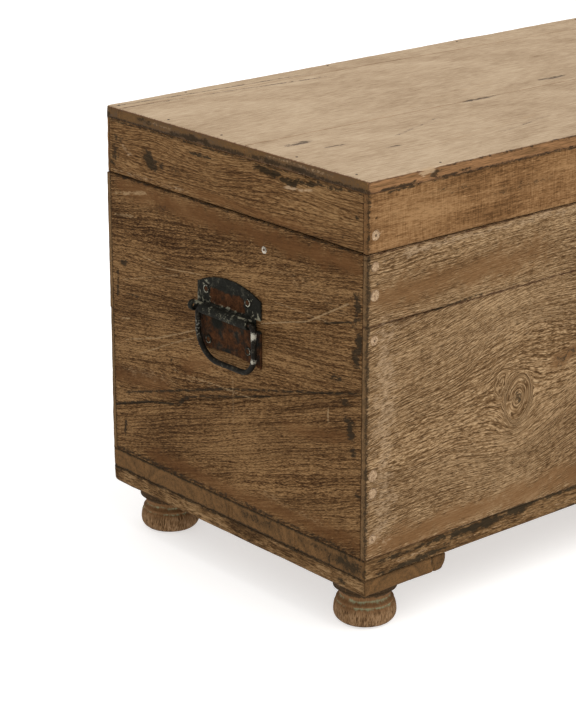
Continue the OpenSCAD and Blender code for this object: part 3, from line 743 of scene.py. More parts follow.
TOP_MARKS = face_marks(
    stain=[
        ([(0, 418), (90, 412), (274, 401)], (18, 2.2), 0.6),
        ([(0, 405), (150, 393), (274, 377)], (20, 1.6), 0.55), ([(319, 183), (350, 182)], (18, 5), 0.72),
        ([(461, 205), (480, 204)], (16, 8), 0.75), ([(109, 89), (118, 88)], (9, 3.4), 0.9),
        ([(39, 161), (60, 160)], (14, 7), 0.8), ([(62, 130), (80, 128)], (9, 2.0), 0.9),
        ([(150, 120), (240, 150)], (10, 1.5), 0.35), ([(250, 60), (330, 78)], (12, 1.6), 0.35),
        ([(700, 260), (760, 258)], (20, 3), 0.7), ([(880, 120)], (6, 5), 0.7),
        ([(120, 1), (330, 1)], (20, 2.4), 0.35),
    ],
    pale=[
        ([(120, 60), (330, 92)], (14, 2.6), 0.6), ([(180, 190), (420, 240)], (14, 2.6), 0.55),
        ([(76, 2), (88, 2)], (5, 5), 1.0),
    ],
    dent=[
        ([(76, 1), (88, 1)], (6, 5), 1.6), ([(140, 1), (146, 1)], (6, 4), 1.0),
    ],
)
TOP_LEFT_MARKS = face_marks(
    stain=[
        ([(434, 492), (424, 485)], (9, 8), 0.8), ([(420, 483), (310, 483)], (20, 2.4), 0.8),
        ([(304, 485), (256, 486)], (14, 5), 0.95), ([(250, 484), (186, 485)], (16, 4), 0.8),
        ([(176, 486), (92, 486)], (14, 5), 0.8), ([(80, 484), (8, 484)], (16, 3.2), 0.7),
        ([(370, 491), (352, 489)], (10, 4), 0.6),
    ],
    pale=[
        ([(340, 490), (320, 489)], (14, 3), 0.5), ([(150, 491), (60, 490)], (14, 3), 0.55),
    ],
    dent=[
        ([(270, 486), (250, 488)], (8, 5), 1.2), ([(160, 486), (100, 487)], (9, 5), 1.4),
    ],
)
TOP_FRONT_MARKS = face_marks(
    stain=[
        ([(24, 483), (58, 484)], (14, 2.6), 0.85), ([(100, 483), (134, 485)], (16, 2.4), 0.7),
        ([(134, 483), (330, 483)], (20, 1.6), 0.5), ([(88, 488), (94, 490)], (6, 4), 0.9),
        ([(400, 484), (700, 484)], (40, 2.0), 0.5),
    ],
    pale=[
        ([(72, 491), (88, 493)], (8, 6), 1.0),
    ],
    dent=[
        ([(74, 491), (90, 492)], (9, 7), 1.8),
    ],
)

RAIL_LEFT_MARKS = face_marks(
    stain=[
        ([(352, 449), (340, 442)], (13, 12), 1.0), ([(330, 445)], (8, 6), 0.8),
        ([(277, 470), (250, 470)], (8, 3), 0.9), ([(169, 476), (140, 473)], (10, 5), 0.95),
        ([(132, 471), (112, 469)], (9, 5), 1.0), ([(104, 473), (84, 475)], (8, 4), 0.9),
        # The soft dark patch at (408-418, 432-462), by the lid's rounded back corner, is painted shade.
        ([(76, 477), (44, 478)], (10, 2.6), 0.7), ([(408, 462), (418, 432)], (13, 10), 0.55),
        ([(17, 455)], (6, 3), 0.9), ([(37, 432)], (3, 5), 0.8), ([(420, 480), (20, 480)], (20, 2.4), 0.5),
        ([(300, 447)], (26, 8), 0.28),
    ],
    dent=[
        ([(346, 446)], (8, 7), 0.9), ([(165, 477), (140, 475), (112, 474), (88, 479)], (10, 5.5), 3.2),
    ],
    pale=[
        ([(128, 464), (100, 466), (88, 469)], (7, 3), 0.85), ([(420, 425), (300, 426)], (30, 5), 0.45),
        ([(398, 455), (388, 447)], (9, 4), 0.6),
    ],
    polish=[
        ([(250, 428), (120, 426)], (50, 8), 0.6),
    ],
)
RAIL_FRONT_MARKS = face_marks(
    stain=[
        ([(11, 456)], (3.4, 3.4), 1.0), ([(30, 480), (62, 481)], (12, 2.4), 0.75),
        ([(100, 481), (330, 481)], (30, 1.8), 0.5), ([(96, 470), (130, 466)], (22, 9), 0.24),
        ([(180, 452), (240, 455)], (34, 10), 0.22), ([(1, 424), (1, 478)], (4.0, 12), 0.5),
        ([(620, 446), (700, 450)], (30, 9), 0.25),
    ],
    dent=[
        ([(11, 456)], (3.2, 3.2), 3.0),
    ],
    pale=[
        ([(13, 440)], (10, 9), 0.65),
    ],
)
RAIL_LEFT_KNOTS = [Knot(346, 446, 13, 1.4, 0.0), Knot(140, 446, 17, 1.7, 0.0)]
RAIL_RIGHT_KNOTS = [Knot(210, 450, 9, 1.4)]
# The mirrored copy also carries the painted shade of the back corner to the right rail's front end.
RAIL_RIGHT_MARKS = turned(RAIL_LEFT_MARKS, DEPTH, -6)
RAIL_BACK_MARKS = face_marks(
    stain=[
        ([(60, 440), (110, 446)], (22, 10), 0.6), ([(420, 479), (520, 478)], (30, 4), 0.8),
        ([(690, 450), (730, 444)], (16, 8), 0.6), ([(150, 470), (230, 462)], (14, 12), 0.5),
    ],
    pale=[
        ([(560, 430), (660, 428)], (30, 6), 0.6),
    ],
)

BACK_MARKS = face_marks(
    stain=[
        ([(150, 96), (420, 97)], (26, 8), 0.9), ([(640, 96), (900, 95)], (30, 6), 0.8),
        ([(3, 100), (4, 410)], (5, 18), 0.55), ([(1056, 100), (1057, 410)], (5, 18), 0.6),
        ([(230, 250), (300, 246)], (26, 9), 0.7), ([(700, 300), (740, 296)], (12, 7), 0.9),
        ([(480, 405), (560, 402)], (30, 8), 0.6),
    ],
    polish=[
        ([(60, 110), (1000, 112)], (60, 22), 0.9), ([(420, 380), (640, 384)], (80, 22), 0.8),
    ],
    pale=[
        ([(820, 210), (960, 230)], (12, 2.8), 0.9), ([(360, 190), (500, 176)], (12, 2.6), 0.8),
    ],
    dent=[
        ([(700, 300), (740, 296)], (10, 6), 1.0),
    ],
)
RIGHT_MARKS = turned(LEFT_MARKS, DEPTH, 5) + face_marks(
    pale=[([(120, 250), (240, 226), (330, 236)], (4, 2.0), 0.8)],
)

FLOOR_LEFT_MARKS = face_marks(
    stain=[
        ([(425, 92), (12, 92)], (20, 2.2), 0.75), ([(425, 71), (12, 71)], (20, 2.6), 0.8),
        ([(188, 84), (150, 84)], (26, 7), 0.45), ([(98, 86), (66, 86)], (26, 6), 0.5),
        ([(40, 82), (10, 80)], (24, 12), 0.75),
    ],
)
FLOOR_FRONT_MARKS = face_marks(
    stain=[
        ([(26, 87), (70, 88), (112, 89)], (14, 4.5), 0.85),
        ([(34, 72), (70, 74), (113, 77)], (16, 6), 0.95),
        ([(128, 88), (175, 88), (236, 90)], (12, 8), 1.0), ([(240, 92), (420, 92)], (20, 3.4), 0.85),
        ([(300, 72), (420, 71)], (40, 3), 0.6), ([(600, 90), (900, 90)], (60, 4), 0.7),
    ],
    pale=[
        ([(40, 80), (96, 82)], (26, 3), 0.55), ([(150, 78), (300, 79)], (40, 3), 0.4),
    ],
)
BATTEN_LEFT_MARKS = face_marks(
    stain=[
        ([(38, 60), (31, 59)], (4, 3.4), 0.95), ([(425, 69), (10, 69)], (20, 1.8), 0.6),
    ],
)
BATTEN_FRONT_MARKS = face_marks(
    stain=[
        ([(97, 70), (99, 53)], (1.6, 4), 0.95), ([(108, 62)], (9, 9), 0.4),
    ],
    dent=[
        ([(97, 70), (99, 53)], (1.6, 4), 1.4),
    ],
    pale=[
        # This pale spot at the split is a painted highlight, a glint on the split's edge.
        ([(96, 66)], (2.2, 3.0), 1.0),
    ],
)

# ---------------------------------------------------------------- wooden pieces


WALL_MARKS = {"front": FRONT_MARKS, "back": BACK_MARKS, "left": LEFT_MARKS, "right": RIGHT_MARKS}
RAIL_MARKS = {
    "front": RAIL_FRONT_MARKS, "back": RAIL_BACK_MARKS, "left": RAIL_LEFT_MARKS, "right": RAIL_RIGHT_MARKS,
}
# Each side of the chest with the direction in which its boards look outward
LONG_SIDES = (("front", "-y"), ("back", "+y"))
END_SIDES = (("left", "-x"), ("right", "+x"))
# Where a lapped board's tongue begins, as a lattice line across its thickness
TONGUE_LINES = {"front": (TONGUE,), "back": (DEPTH - TONGUE,)}
# Heights of the corner plugs over the floor boards, where the walls' lattice has extra rows
PLUG_HEIGHTS = (22, 73, 92, 237, 284, 314)


def build_walls():
    for side, outer in LONG_SIDES:
        plug_z = [WALL_Z + h + d for h in PLUG_HEIGHTS for d in (-2, 0, 2)]
        keep = ((END_T, LENGTH - END_T), TONGUE_LINES[side], plug_z)
        common = dict(body="chest", slot="front_wood", material=FRONT_WOOD, along=0, lap=side, keep=keep,
                      step=(4.0, 1.9), marks={side: WALL_MARKS[side]})
        corners = {"-x" + outer: 2.6, "+x" + outer: 2.6}
        board(side + "_lower_board", edges={**corners, outer + "+z": 0.9, outer + "-z": 1.3},
              knots=FRONT_KNOTS if side == "front" else [Knot(330, 200, 14, 1.3), Knot(810, 170, 10, 1.5)],
              grain_slope=0.11 if side == "front" else -0.03, heart=(30, 190, 190), calm=("-z", "+z"),
              relief=0.7,
              seed=11 if side == "front" else 23, **common)
        board(side + "_upper_board", edges={**corners, outer + "-z": 0.9, outer + "+z": 2.2},
              knots=[Knot(560, 380, 9, 1.8)], grain_slope=0.02, heart=(60, 200, 480), calm=("-z",),
              relief=0.55,
              seed=12 if side == "front" else 24, **common)
    for side, outer in END_SIDES:
        slope = -0.30 if side == "left" else 0.05
        common = dict(body="chest", slot="end_wood", material=END_WOOD, along=1, slope=True, step=(2.4, 1.3),
                      marks={side: WALL_MARKS[side]})
        board(side + "_end_lower_board", knots=LEFT_KNOTS_LOW if side == "left" else (),
              edges={outer + "-y": 1.2, outer + "+y": 1.2, outer + "-z": 1.2, outer + "+z": 1.0},
              grain_slope=slope, heart=(90, 60, 20), calm=("-z", "+z"), relief=0.6,
              seed=31 if side == "left" else 41, **common)
        board(side + "_end_upper_board", knots=LEFT_KNOTS_HIGH if side == "left" else (),
              edges={outer + "-y": 1.2, outer + "+y": 1.2, outer + "+z": 2.4, outer + "-z": 1.0},
              grain_slope=0.45 * slope, heart=(30, 120, 420), calm=("-z",), relief=0.6,
              seed=32 if side == "left" else 42, **common)


def build_base():
    for i in range(1, 5):
        edges = {"-x+z": 1.4, "-x-z": 1.6, "+x+z": 1.4, "+x-z": 1.6, "-x-y": 1.4, "-x+y": 1.4}
        if i == 1:
            edges.update({"-x-y": 2.6, "+x-y": 2.6, "-y+z": 1.6, "-y-z": 1.8})
        if i == 4:
            edges.update({"-x+y": 4.0, "+x+y": 4.0, "+y+z": 1.6, "+y-z": 1.8})
        board(f"floor_board_{i}", "chest", "floor_wood", BASE_WOOD, 0, (5.0, 2.4), edges,
              marks={"left": FLOOR_LEFT_MARKS, "front": FLOOR_FRONT_MARKS if i == 1 else []},
              heart=(6, 60, 40 + 95 * i), calm=("+z", "+y"), relief=0.5,
              joined=(("+y",), ("-y", "+y"), ("-y", "+y"), ("-y",))[i - 1], seed=50 + i)
    for side, inner in (("left", "+x"), ("right", "-x")):
        outer = "-x" if side == "left" else "+x"
        board(side + "_batten", "chest", "floor_wood", BASE_WOOD, 1, (3.4, 2.2),
              {inner + "-z": 12, "-y-z": 3, "+y-z": 12,
               outer + "-y": 2.0, outer + "+y": 4.0, outer + "-z": 2.6},
              marks={"left": BATTEN_LEFT_MARKS, "front": BATTEN_FRONT_MARKS} if side == "left" else {},
              heart=(10, 26, 40 if side == "left" else 1010), calm=("+z",), relief=0.5, seed=60 + len(side))


# Extra lattice lines round the nail hole near the front rail's left end
RAIL_NAIL_X = (7.5, 9, 11, 13, 14.5)
RAIL_NAIL_Z = (452.5, 454, 456, 458, 459.5)


def build_lid():
    for side, outer in LONG_SIDES:
        keep_x = (END_T, LENGTH - END_T, *RAIL_NAIL_X)
        board(f"lid_{side}_rail", "lid", "rail_wood", RAIL_WOOD, 0, (4.2, 1.8),
              {"-x" + outer: 3.2 if side == "front" else 6.0, "+x" + outer: 3.2,
               outer + "-z": 2.2, outer + "+z": 1.2},
              lap=side, knots=[Knot(640, 448, 8, 2.0)], grain_slope=0.03, heart=(30, 120, 300),
              calm=("+z",), relief=0.5, keep=(keep_x, TONGUE_LINES[side], RAIL_NAIL_Z),
              seed=71 if side == "front" else 72, marks={side: RAIL_MARKS[side]})
    for side, outer in END_SIDES:
        board(f"lid_{side}_rail", "lid", "rail_wood", END_RAIL_WOOD, 1, (2.8, 1.5),
              {outer + "-y": 1.4, outer + "+y": 1.4, outer + "-z": 2.4, outer + "+z": 1.4},
              knots=RAIL_LEFT_KNOTS if side == "left" else RAIL_RIGHT_KNOTS,
              grain_slope=-0.03, heart=(20, 90, 500), calm=("+z",), relief=0.6,
              seed=73 if side == "left" else 74, marks={side: RAIL_MARKS[side]})
    tops = (
        ("front_board", {"-y+z": 4.2, "-x+z": 4.0, "+x+z": 4.0, "-x-y": 4.5, "+x-y": 4.5, "-y-z": 1.2}, 90),
        ("middle_board", {"-x+z": 3.6, "+x+z": 3.6}, 290),
        ("back_strip", {"+y+z": 4.2, "-x+z": 4.0, "+x+z": 4.0, "-x+y": 8.0, "+x+y": 5.0}, 400),
    )
    for i, (name, edges, heart) in enumerate(tops):
        front_marks = TOP_FRONT_MARKS if i == 0 else []
        board("lid_top_" + name, "lid", "top_wood", TOP_WOOD, 0, (4.6, 1.9),
              {"-x-z": 1.4, "+x-z": 1.4, **edges},
              slope=True, sides=0.6, joined=(("+y",), ("-y", "+y"), ("-y",))[i],
              marks={"top": TOP_MARKS, "left": TOP_LEFT_MARKS, "front": front_marks},
              knots=[Knot(560 + 90 * i, heart, 7, 2.4)],
              heart=(26, 120, heart), calm=("-z",), relief=0.5, seed=80 + i)
    board("lid_cleat", "lid", "rail_wood", RAIL_WOOD, 1, (4.0, 2.2), {"-x-z": 3, "+x-z": 3},
          heart=(20, 60, 530), calm=("+z",), relief=0.5, seed=90)


# ---------------------------------------------------------------- turned feet


def lathe(profile, turns, wobble=None):
    """Points and quads of a closed lathe body from (radius, height) pairs, top and bottom capped."""
    angles = np.linspace(0, 2 * math.pi, turns, endpoint=False)
    profile = np.array(profile, float)
    rows = len(profile)
    r = np.repeat(profile[:, 0], turns)
    z = np.repeat(profile[:, 1], turns)
    angle = np.tile(angles, rows)
    if wobble is not None:
        r = r + wobble(r, z, angle)
    points = np.stack([r * np.cos(angle), r * np.sin(angle), z], 1)
    i, j = np.meshgrid(np.arange(rows - 1), np.arange(turns), indexing="ij")
    here, after = (i * turns + j).ravel(), (i * turns + (j + 1) % turns).ravel()
    quads = np.stack([here, after, after + turns, here + turns], 1)
    return points, quads, r, z, angle


# Turned detail of a foot: grooves as (height, width, depth), the bead between the lower two as
# (height, width, rise), old paint as (height, width), and the bun's radius, which scales its wear
FOOT_GROOVES = ((23.0, 1.1, 1.3), (28.8, 1.5, 1.2), (41.5, 0.8, 0.8))
FOOT_BEAD = (25.8, 1.6, 1.0)
FOOT_PAINT = ((23.0, 1.5), (29.6, 2.4))
FOOT_R = 34


def foot_profile(node):
    """The CAD foot's outline under its dowel, resampled, with its turned grooves and bead."""
    points = cad_points(node)
    low, high = span(node)
    centre = (low + high)[:2] / 2
    radius = np.hypot(*(points[:, :2] - centre).T)
    top = span("left_batten")[0][2]
    rim = {}
    for r, z in zip(radius, points[:, 2]):
        if z < top + 0.01:
            rim[round(z, 2)] = max(r, rim.get(round(z, 2), 0))
    heights = np.array(sorted(rim))
    z = np.concatenate([np.linspace(0, 1, 3), np.arange(1.6, top - 0.3, 0.6), [top]])
    r = np.interp(z, heights, [rim[h] for h in heights])
    for at, width, depth in FOOT_GROOVES:
        r = r - depth * hill(z, at, width)
    at, width, rise = FOOT_BEAD
    r = r + rise * hill(z, at, width)
    return centre, [(0.01, 0.0), *zip(r, z), (0.01, top)]


def build_feet():
    names = ("front_left_foot", "front_right_foot", "back_left_foot", "back_right_foot")
    for seed, node in enumerate(names):
        centre, profile = foot_profile(node)

        def wobble(r, z, angle):
            ring = np.stack([np.cos(angle) * FOOT_R, np.sin(angle) * FOOT_R, z], 1)
            crack = fbm(ring, (3.2, 3.2, 30), 300 + seed, 2)
            low_down = smooth((21 - z) / 6)
            chips = np.clip(fbm(ring, (9, 9, 6), 330 + seed, 3) - 0.25, 0, 1)
            return -(0.6 * np.clip(crack - 0.1, 0, 1) * low_down + 1.6 * chips * smooth((z - 38) / 6)
                     + 0.3 + 0.3 * fbm(ring, 16, 360 + seed)) * smooth((r - 2) / 20)

        points, quads, r, z, angle = lathe(profile, 160, wobble)
        inward = math.atan2(DEPTH / 2 - centre[1], LENGTH / 2 - centre[0])
        turn = np.mod(angle - inward, 2 * math.pi)
        grain = np.stack([z * 1.6, turn * FOOT_R + 400 * seed, r * 0.3], 1)
        ring = np.stack([np.cos(angle) * FOOT_R, np.sin(angle) * FOOT_R, z], 1)
        paint = sum(hill(z, at, width) for at, width in FOOT_PAINT)
        paint = paint * (0.6 + 1.0 * fbm(ring, (9, 9, 4), 400 + seed))
        # Darker at the top under the batten, in patches towards the bottom, and in a rim at the floor.
        bottom_patches = 0.6 + 0.5 * fbm(ring, 10, 420 + seed)
        dark = 0.8 * smooth((z - 33) / 4) + 0.5 * smooth((4 - z) / 4) * bottom_patches
        marks = np.stack([dark, np.clip(paint, 0, 1), 0 * z, np.exp(-np.abs(z - 2) / 1.5)], 1)
        points = points + [centre[0], centre[1], 0]
        polish = 0.75 * smooth((z - 17) / 6)
        piece = new_piece("turned_" + node, points, quads, "chest", FOOT_WOOD,
                          {"grain": grain, "rings": r * 1.5, "polish": polish, "marks": marks})
        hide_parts(node)


# ---------------------------------------------------------------- plugs and nail heads


def islands(node):
    """(lowest, highest) chest corner of each separate solid in a CAD node."""
    source = bmesh.new()
    source.from_mesh(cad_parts[node].data)
    bmesh.ops.remove_doubles(source, verts=source.verts, dist=1e-6)
    seen, boxes = set(), []
    for start in source.verts:
        if start in seen:
            continue
        stack, group = [start], []
        seen.add(start)
        while stack:
            vertex = stack.pop()
            group.append(vertex.co[:])
            for edge in vertex.link_edges:
                other = edge.other_vert(vertex)
                if other not in seen:
                    seen.add(other)
                    stack.append(other)
        group = chest(group)
        boxes.append((group.min(0), group.max(0)))
    source.free()
    return sorted(boxes, key=lambda box: [round(v, 1) for v in box[0]])


def facing(points, direction):
    """Turns lathe points (axis +Z) so that +Z looks along an axis of the chest."""
    x, y, z = points.T
    return {
        "-y": np.stack([x, -z, y], 1), "+y": np.stack([-x, z, y], 1),
        "-x": np.stack([-z, -x, y], 1), "+x": np.stack([z, x, y], 1),
    }[direction]


def disc_piece(name, node, body, material, spots, profile, marks_of, uneven):
    """One piece of many small lathe discs: spots are (place, direction, radius)."""
    all_points, all_quads, all_marks, all_grain, count = [], [], [], [], 0
    for seed, (place, direction, radius) in enumerate(spots):
        def wobble(r, z, angle):
            ring = np.stack([np.cos(angle) * 5, np.sin(angle) * 5, z * 0 + seed * 9], 1)
            return r * uneven * fbm(ring, 4, 500 + seed, 2)
        shape = [(r * radius, h) for r, h in profile]
        points, quads, r, z, angle = lathe(shape, 28, wobble)
        all_marks.append(marks_of(r / radius, angle, seed))
        placed = facing(points, direction) + place
        all_points.append(placed)
        all_grain.append(placed + [60.0 * seed, 0, 37.0 * seed])
        all_quads.append(quads + count)
        count += len(points)
    points, quads = np.concatenate(all_points), np.concatenate(all_quads)
    grain = np.concatenate(all_grain)
    piece = new_piece(name, points, quads, body, material,
                      {"grain": grain, "rings": grain[:, 2], "marks": np.concatenate(all_marks)})
    if node:
        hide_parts(node)
    return piece


# A nail head that stands in the left end above the handle; the CAD has no node for it
LEFT_END_NAIL = np.array([0.7, 159, 390])
LEFT_END_NAIL_R = 4.2
# Profiles are (share of the radius, height in mm)
NAIL_PROFILE = [(0.01, -1.2), (1.0, -1.2), (1.0, 0.1), (0.85, 0.6), (0.5, 0.85), (0.01, 0.95)]
PLUG_PROFILE = [(0.01, -1.2), (0.8, -1.2), (1.0, -0.9), (1.0, -0.1), (0.97, 0.15), (0.88, 0.28), (0.6, 0.32),
                (0.35, 0.28), (0.2, 0.18), (0.01, 0.1)]


def plug_marks(share, angle, seed):
    grey = (0.95 if seed % 3 == 0 else 0.35) * smooth((0.34 - share) / 0.2)
    rim = smooth((share - 0.8) / 0.2) * 0.45
    pale = np.full(len(share), 0.0) + (0.6 if seed % 4 == 1 else 0.15)
    pale = pale * smooth((0.8 - share) / 0.3)
    return np.stack([np.maximum(grey, rim), pale, 0 * share, smooth((share - 0.85) / 0.15)], 1)


def face_spots(node, sink=0.25):
    spots = []
    for low, high in islands(node):
        middle = (low + high) / 2
        front = middle[1] < DEPTH / 2
        radius = (high[0] - low[0]) / 2
        place = np.array([middle[0], sink if front else DEPTH - sink, middle[2]])
        spots.append((place, "-y" if front else "+y", radius * (1.02 + 0.12 * ((len(spots) * 7) % 5) / 4)))
    return spots


def nail_marks(share, angle, seed):
    # The pale top, brighter on one side, is a painted highlight; the rusty centre is the nail's own.
    shine = 0.95 * smooth((share - 0.1) / 0.3) * (0.75 + 0.25 * np.cos(angle + 2.2))
    return np.stack([0.6 * smooth((0.6 - share) / 0.4), shine, 0 * share], 1)


def build_plugs():
    disc_piece("left_end_nail_head", None, "chest", NAIL_IRON,
               [(LEFT_END_NAIL, "-x", LEFT_END_NAIL_R)], NAIL_PROFILE, nail_marks, 0.1)
    disc_piece("corner_plugs", "corner_nail_plugs", "chest", PLUG_WOOD,
               face_spots("corner_nail_plugs"), PLUG_PROFILE, plug_marks, 0.24)
    disc_piece("rail_plugs", "lid_rail_plugs", "lid", PLUG_WOOD, face_spots("lid_rail_plugs"),
               PLUG_PROFILE, plug_marks, 0.16)


# ---------------------------------------------------------------- forged iron


def forged(node, body, material, voxel, seed, paint=None, rough=0.16):
    """A CAD iron piece remeshed, softened and pitted, standing for its node."""
    copy = bpy.data.objects.new("raw_" + node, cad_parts[node].data.copy())
    bpy.context.scene.collection.objects.link(copy)
    remesh = copy.modifiers.new("remesh", "REMESH")
    remesh.mode = "VOXEL"
    remesh.voxel_size = voxel / MM
    soften = copy.modifiers.new("soften", "SMOOTH")
    soften.factor = 0.5
    soften.iterations = 3
    depsgraph = bpy.context.evaluated_depsgraph_get()
    mesh = bpy.data.meshes.new_from_object(copy.evaluated_get(depsgraph))
    bpy.data.objects.remove(copy)
    mesh.name = "forged_" + node
    count = len(mesh.vertices)
    co, normals = np.zeros(count * 3), np.zeros(count * 3)
    mesh.vertices.foreach_get("co", co)
    mesh.vertices.foreach_get("normal", normals)
    points, normals = chest(co.reshape(-1, 3)), normals.reshape(-1, 3)
    lumps = fbm(points, 7, seed) * rough + fbm(points, 2.4, seed + 9, 2) * rough * 0.6 - rough * 0.4
    marks = paint(points) if paint else np.zeros((count, 3))
    mesh.vertices.foreach_set("co", metres(points + normals * lumps[:, None]).astype(np.float32).ravel())
    piece = dress(mesh, "forged_" + node, body, material, {"marks": marks})
    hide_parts(node)
    return piece


# The middle line of a bail's wire (out from the end, its legs, bottom and pivot) and the wire's radius
Bail = namedtuple("Bail", "out front_leg rear_leg bottom axis_z wire")


def bail_axis(side):
    """A bail's measures from its CAD node's box."""
    low, high = span(side + "_bail")
    wire = (high[0] - low[0]) / 2
    return Bail((low[0] + high[0]) / 2, low[1] + wire, high[1] - wire, low[2] + wire, high[2] - wire, wire)


# The plate's rusty pan reaches this far to each side, its bare shoulders lie outside that, and
# worn metal rings the two upper screws
PAN_HALF_WIDTH = 33
SHOULDER_OUT = 48
UPPER_SCREWS = ((251, 327), (182, 328))
SCREW_RING_R = 8
# Height of the lip under the pan, and of the bare shoulders, over the bail's pivot
LIP_UP = 7.5
SHOULDER_UP = 9


def plate_paint(side):
    """Rust, bared metal, a painted highlight along the lip, and soot of a handle plate, as a function of its
    points.
    """
    axis_z = bail_axis(side).axis_z
    plate_low, plate_high = span(side + "_handle_plate")

    def paint(points):
        y, z = points[:, 1], points[:, 2]
        away = np.abs(points[:, 0] - (0 if side == "left" else LENGTH))
        flat = smooth((3.4 - away) / 1.2)
        barrel = smooth((away - 3.2) / 1.5)
        cloud = fbm(points, 9, 610)
        middle = (plate_low[1] + plate_high[1]) / 2
        pan = smooth((z - axis_z - 5) / 3) * smooth((plate_high[2] - 10 - z + 4 * cloud) / 8)
        pan = pan * smooth((PAN_HALF_WIDTH - np.abs(y - middle) + 8 * cloud) / 9)
        below = smooth((axis_z - 5 - z) / 4) * (1 - 0.35 * np.clip(fbm(points, 12, 620) * 1.6, 0, 1))
        smear = np.exp(-((y - middle - 17) / 10) ** 2 - ((z - axis_z + 13) / 7) ** 2)
        rust = np.maximum(pan, below) * flat
        rust = rust + barrel * 0.8 * hill(y - plate_low[1], 24, 12) * np.clip(0.5 + cloud, 0, 1)
        near_screws = np.zeros(len(points))
        for screw_y, screw_z in UPPER_SCREWS:
            gap = np.hypot(y - screw_y, z - screw_z) - SCREW_RING_R
            near_screws = np.maximum(near_screws, hill(gap, 0, 3.5))
        lip = hill(z - axis_z, LIP_UP, 2.2)
        shoulders = hill(np.abs(y - middle), SHOULDER_OUT, 6)
        shoulders = shoulders * hill(z - axis_z, SHOULDER_UP, 7)
        flecks = smooth((fbm(points, 4.6, 640) - 0.05) / 0.3)
        bright = flecks * (0.75 * near_screws + 0.9 * shoulders + 0.4 * barrel)
        # The lip's bright band is a painted highlight along its edge, flecked with worn metal.
        bright = bright + lip * (0.3 + 0.5 * flecks)
        return np.stack([rust, np.clip(bright, 0, 0.9), np.clip(smear * 1.2 * flat, 0, 1)], 1)

    return paint


def tube(path, radius_at, sides):
    """A closed loop of wire through the points of a path, as points and quads."""
    path = np.array(path, float)
    ahead = np.roll(path, -1, 0) - np.roll(path, 1, 0)
    ahead /= np.linalg.norm(ahead, axis=1, keepdims=True)
    out = np.tile([1.0, 0, 0], (len(path), 1))
    up = np.cross(ahead, out)
    angles = np.linspace(0, 2 * math.pi, sides, endpoint=False)
    rings = []
    for i, place in enumerate(path):
        arm = np.cos(angles)[:, None] * out[i] + np.sin(angles)[:, None] * up[i]
        rings.append(place + arm * radius_at(place, arm)[:, None])
    points = np.concatenate(rings)
    count = len(path)
    i, j = np.meshgrid(np.arange(count), np.arange(sides), indexing="ij")
    here, beside = i * sides + j, i * sides + (j + 1) % sides
    ahead_here, ahead_beside = ((i + 1) % count) * sides + j, ((i + 1) % count) * sides + (j + 1) % sides
    quads = np.stack([here, ahead_here, ahead_beside, beside], -1).reshape(-1, 4)
    return points, quads


def rounded_loop(corners, step):
    """Points every step along a closed outline in (y, z), its corners as (y, z, bend radius)."""
    outline = []
    for i, (y, z, bend) in enumerate(corners):
        here = np.array([y, z])
        before = np.array(corners[i - 1][:2]) - here
        after = np.array(corners[(i + 1) % len(corners)][:2]) - here
        before, after = before / np.linalg.norm(before), after / np.linalg.norm(after)
        half = math.acos(float(np.clip(before @ after, -1, 1))) / 2
        reach = bend / math.tan(half)
        centre = here + (before + after) / np.linalg.norm(before + after) * bend / math.sin(half)
        start, end = here + before * reach - centre, here + after * reach - centre
        turn = math.atan2(start[0] * end[1] - start[1] * end[0], start @ end)
        for t in np.linspace(0, 1, max(6, int(abs(turn) * bend / step))):
            c, s = math.cos(turn * t), math.sin(turn * t)
            outline.append(centre + [c * start[0] - s * start[1], s * start[0] + c * start[1]])
    dense = []
    for here, after in zip(outline, outline[1:] + outline[:1]):
        gap = np.linalg.norm(after - here)
        count = max(1, round(gap / step))
        if gap > 1e-6:
            dense += [here + (after - here) * k / count for k in range(count)]
    return np.array(dense)


# Bend radii of a bail's wire: at the two ends of its barrel bar, and at its two lower corners
BARREL_BEND = 6.0
REAR_BEND = 33.0
FRONT_BEND = 21.0
# Worn from its full radius, so that it never meets the plate more than it does at rest
WIRE_WEAR = 0.2


def build_bail(side):
    out, front_leg, rear_leg, bottom, axis_z, wire = bail_axis(side)
    loop = rounded_loop([(front_leg, axis_z, BARREL_BEND), (rear_leg, axis_z, BARREL_BEND),
                         (rear_leg, bottom, REAR_BEND), (front_leg, bottom, FRONT_BEND)], 0.9)
    path = np.column_stack([np.full(len(loop), out), loop])

    def radius_at(place, arm):
        skin = place + arm * wire
        return wire - WIRE_WEAR + 0.16 * fbm(skin, 9, 700) + 0.07 * fbm(skin, 2.5, 710, 2)

    points, quads = tube(path, radius_at, 26)
    y, z = points[:, 1], points[:, 2]
    shape = fbm(points, 6, 720)
    # Painted highlights: pale spots on the front leg and a pale streak down the rear leg stand for
    # reflections on the black wire; the rust by the pivot is the wire's own.
    bright = 0.95 * np.exp(-(((y - front_leg) / 5) ** 2 + ((z - axis_z + 10) / 5) ** 2))
    bright = np.maximum(bright, 0.7 * np.exp(-(((y - front_leg) / 5) ** 2 + ((z - bottom - 17) / 3.5) ** 2)))
    wear_and_glint = hill(y, rear_leg, 6)
    wear_and_glint = wear_and_glint * smooth((axis_z - 4 - z) / 10) * smooth((z - bottom - 8) / 10)
    bright = np.maximum(bright, wear_and_glint * (0.3 + 0.35 * shape))
    rust = 0.9 * np.exp(-(((y - front_leg - 6) / 5) ** 2 + ((z - axis_z) / 6) ** 2))
    marks = np.stack([rust, np.clip(bright, 0, 1), 0 * y], 1)
    piece = new_piece(side + "_bail_wire", points, quads, side + "_bail", BAIL_IRON,
                      {"marks": marks})
    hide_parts(side + "_bail")


PLATE_T = 2.5
SCREW_PROFILE = [(0.01, -0.6), (0.96, -0.6), (1.0, -0.2), (1.0, 0.35), (0.95, 0.8), (0.82, 1.15), (0.72, 1.2),
                 (0.62, 1.0), (0.5, 0.78), (0.3, 0.95), (0.01, 1.1)]


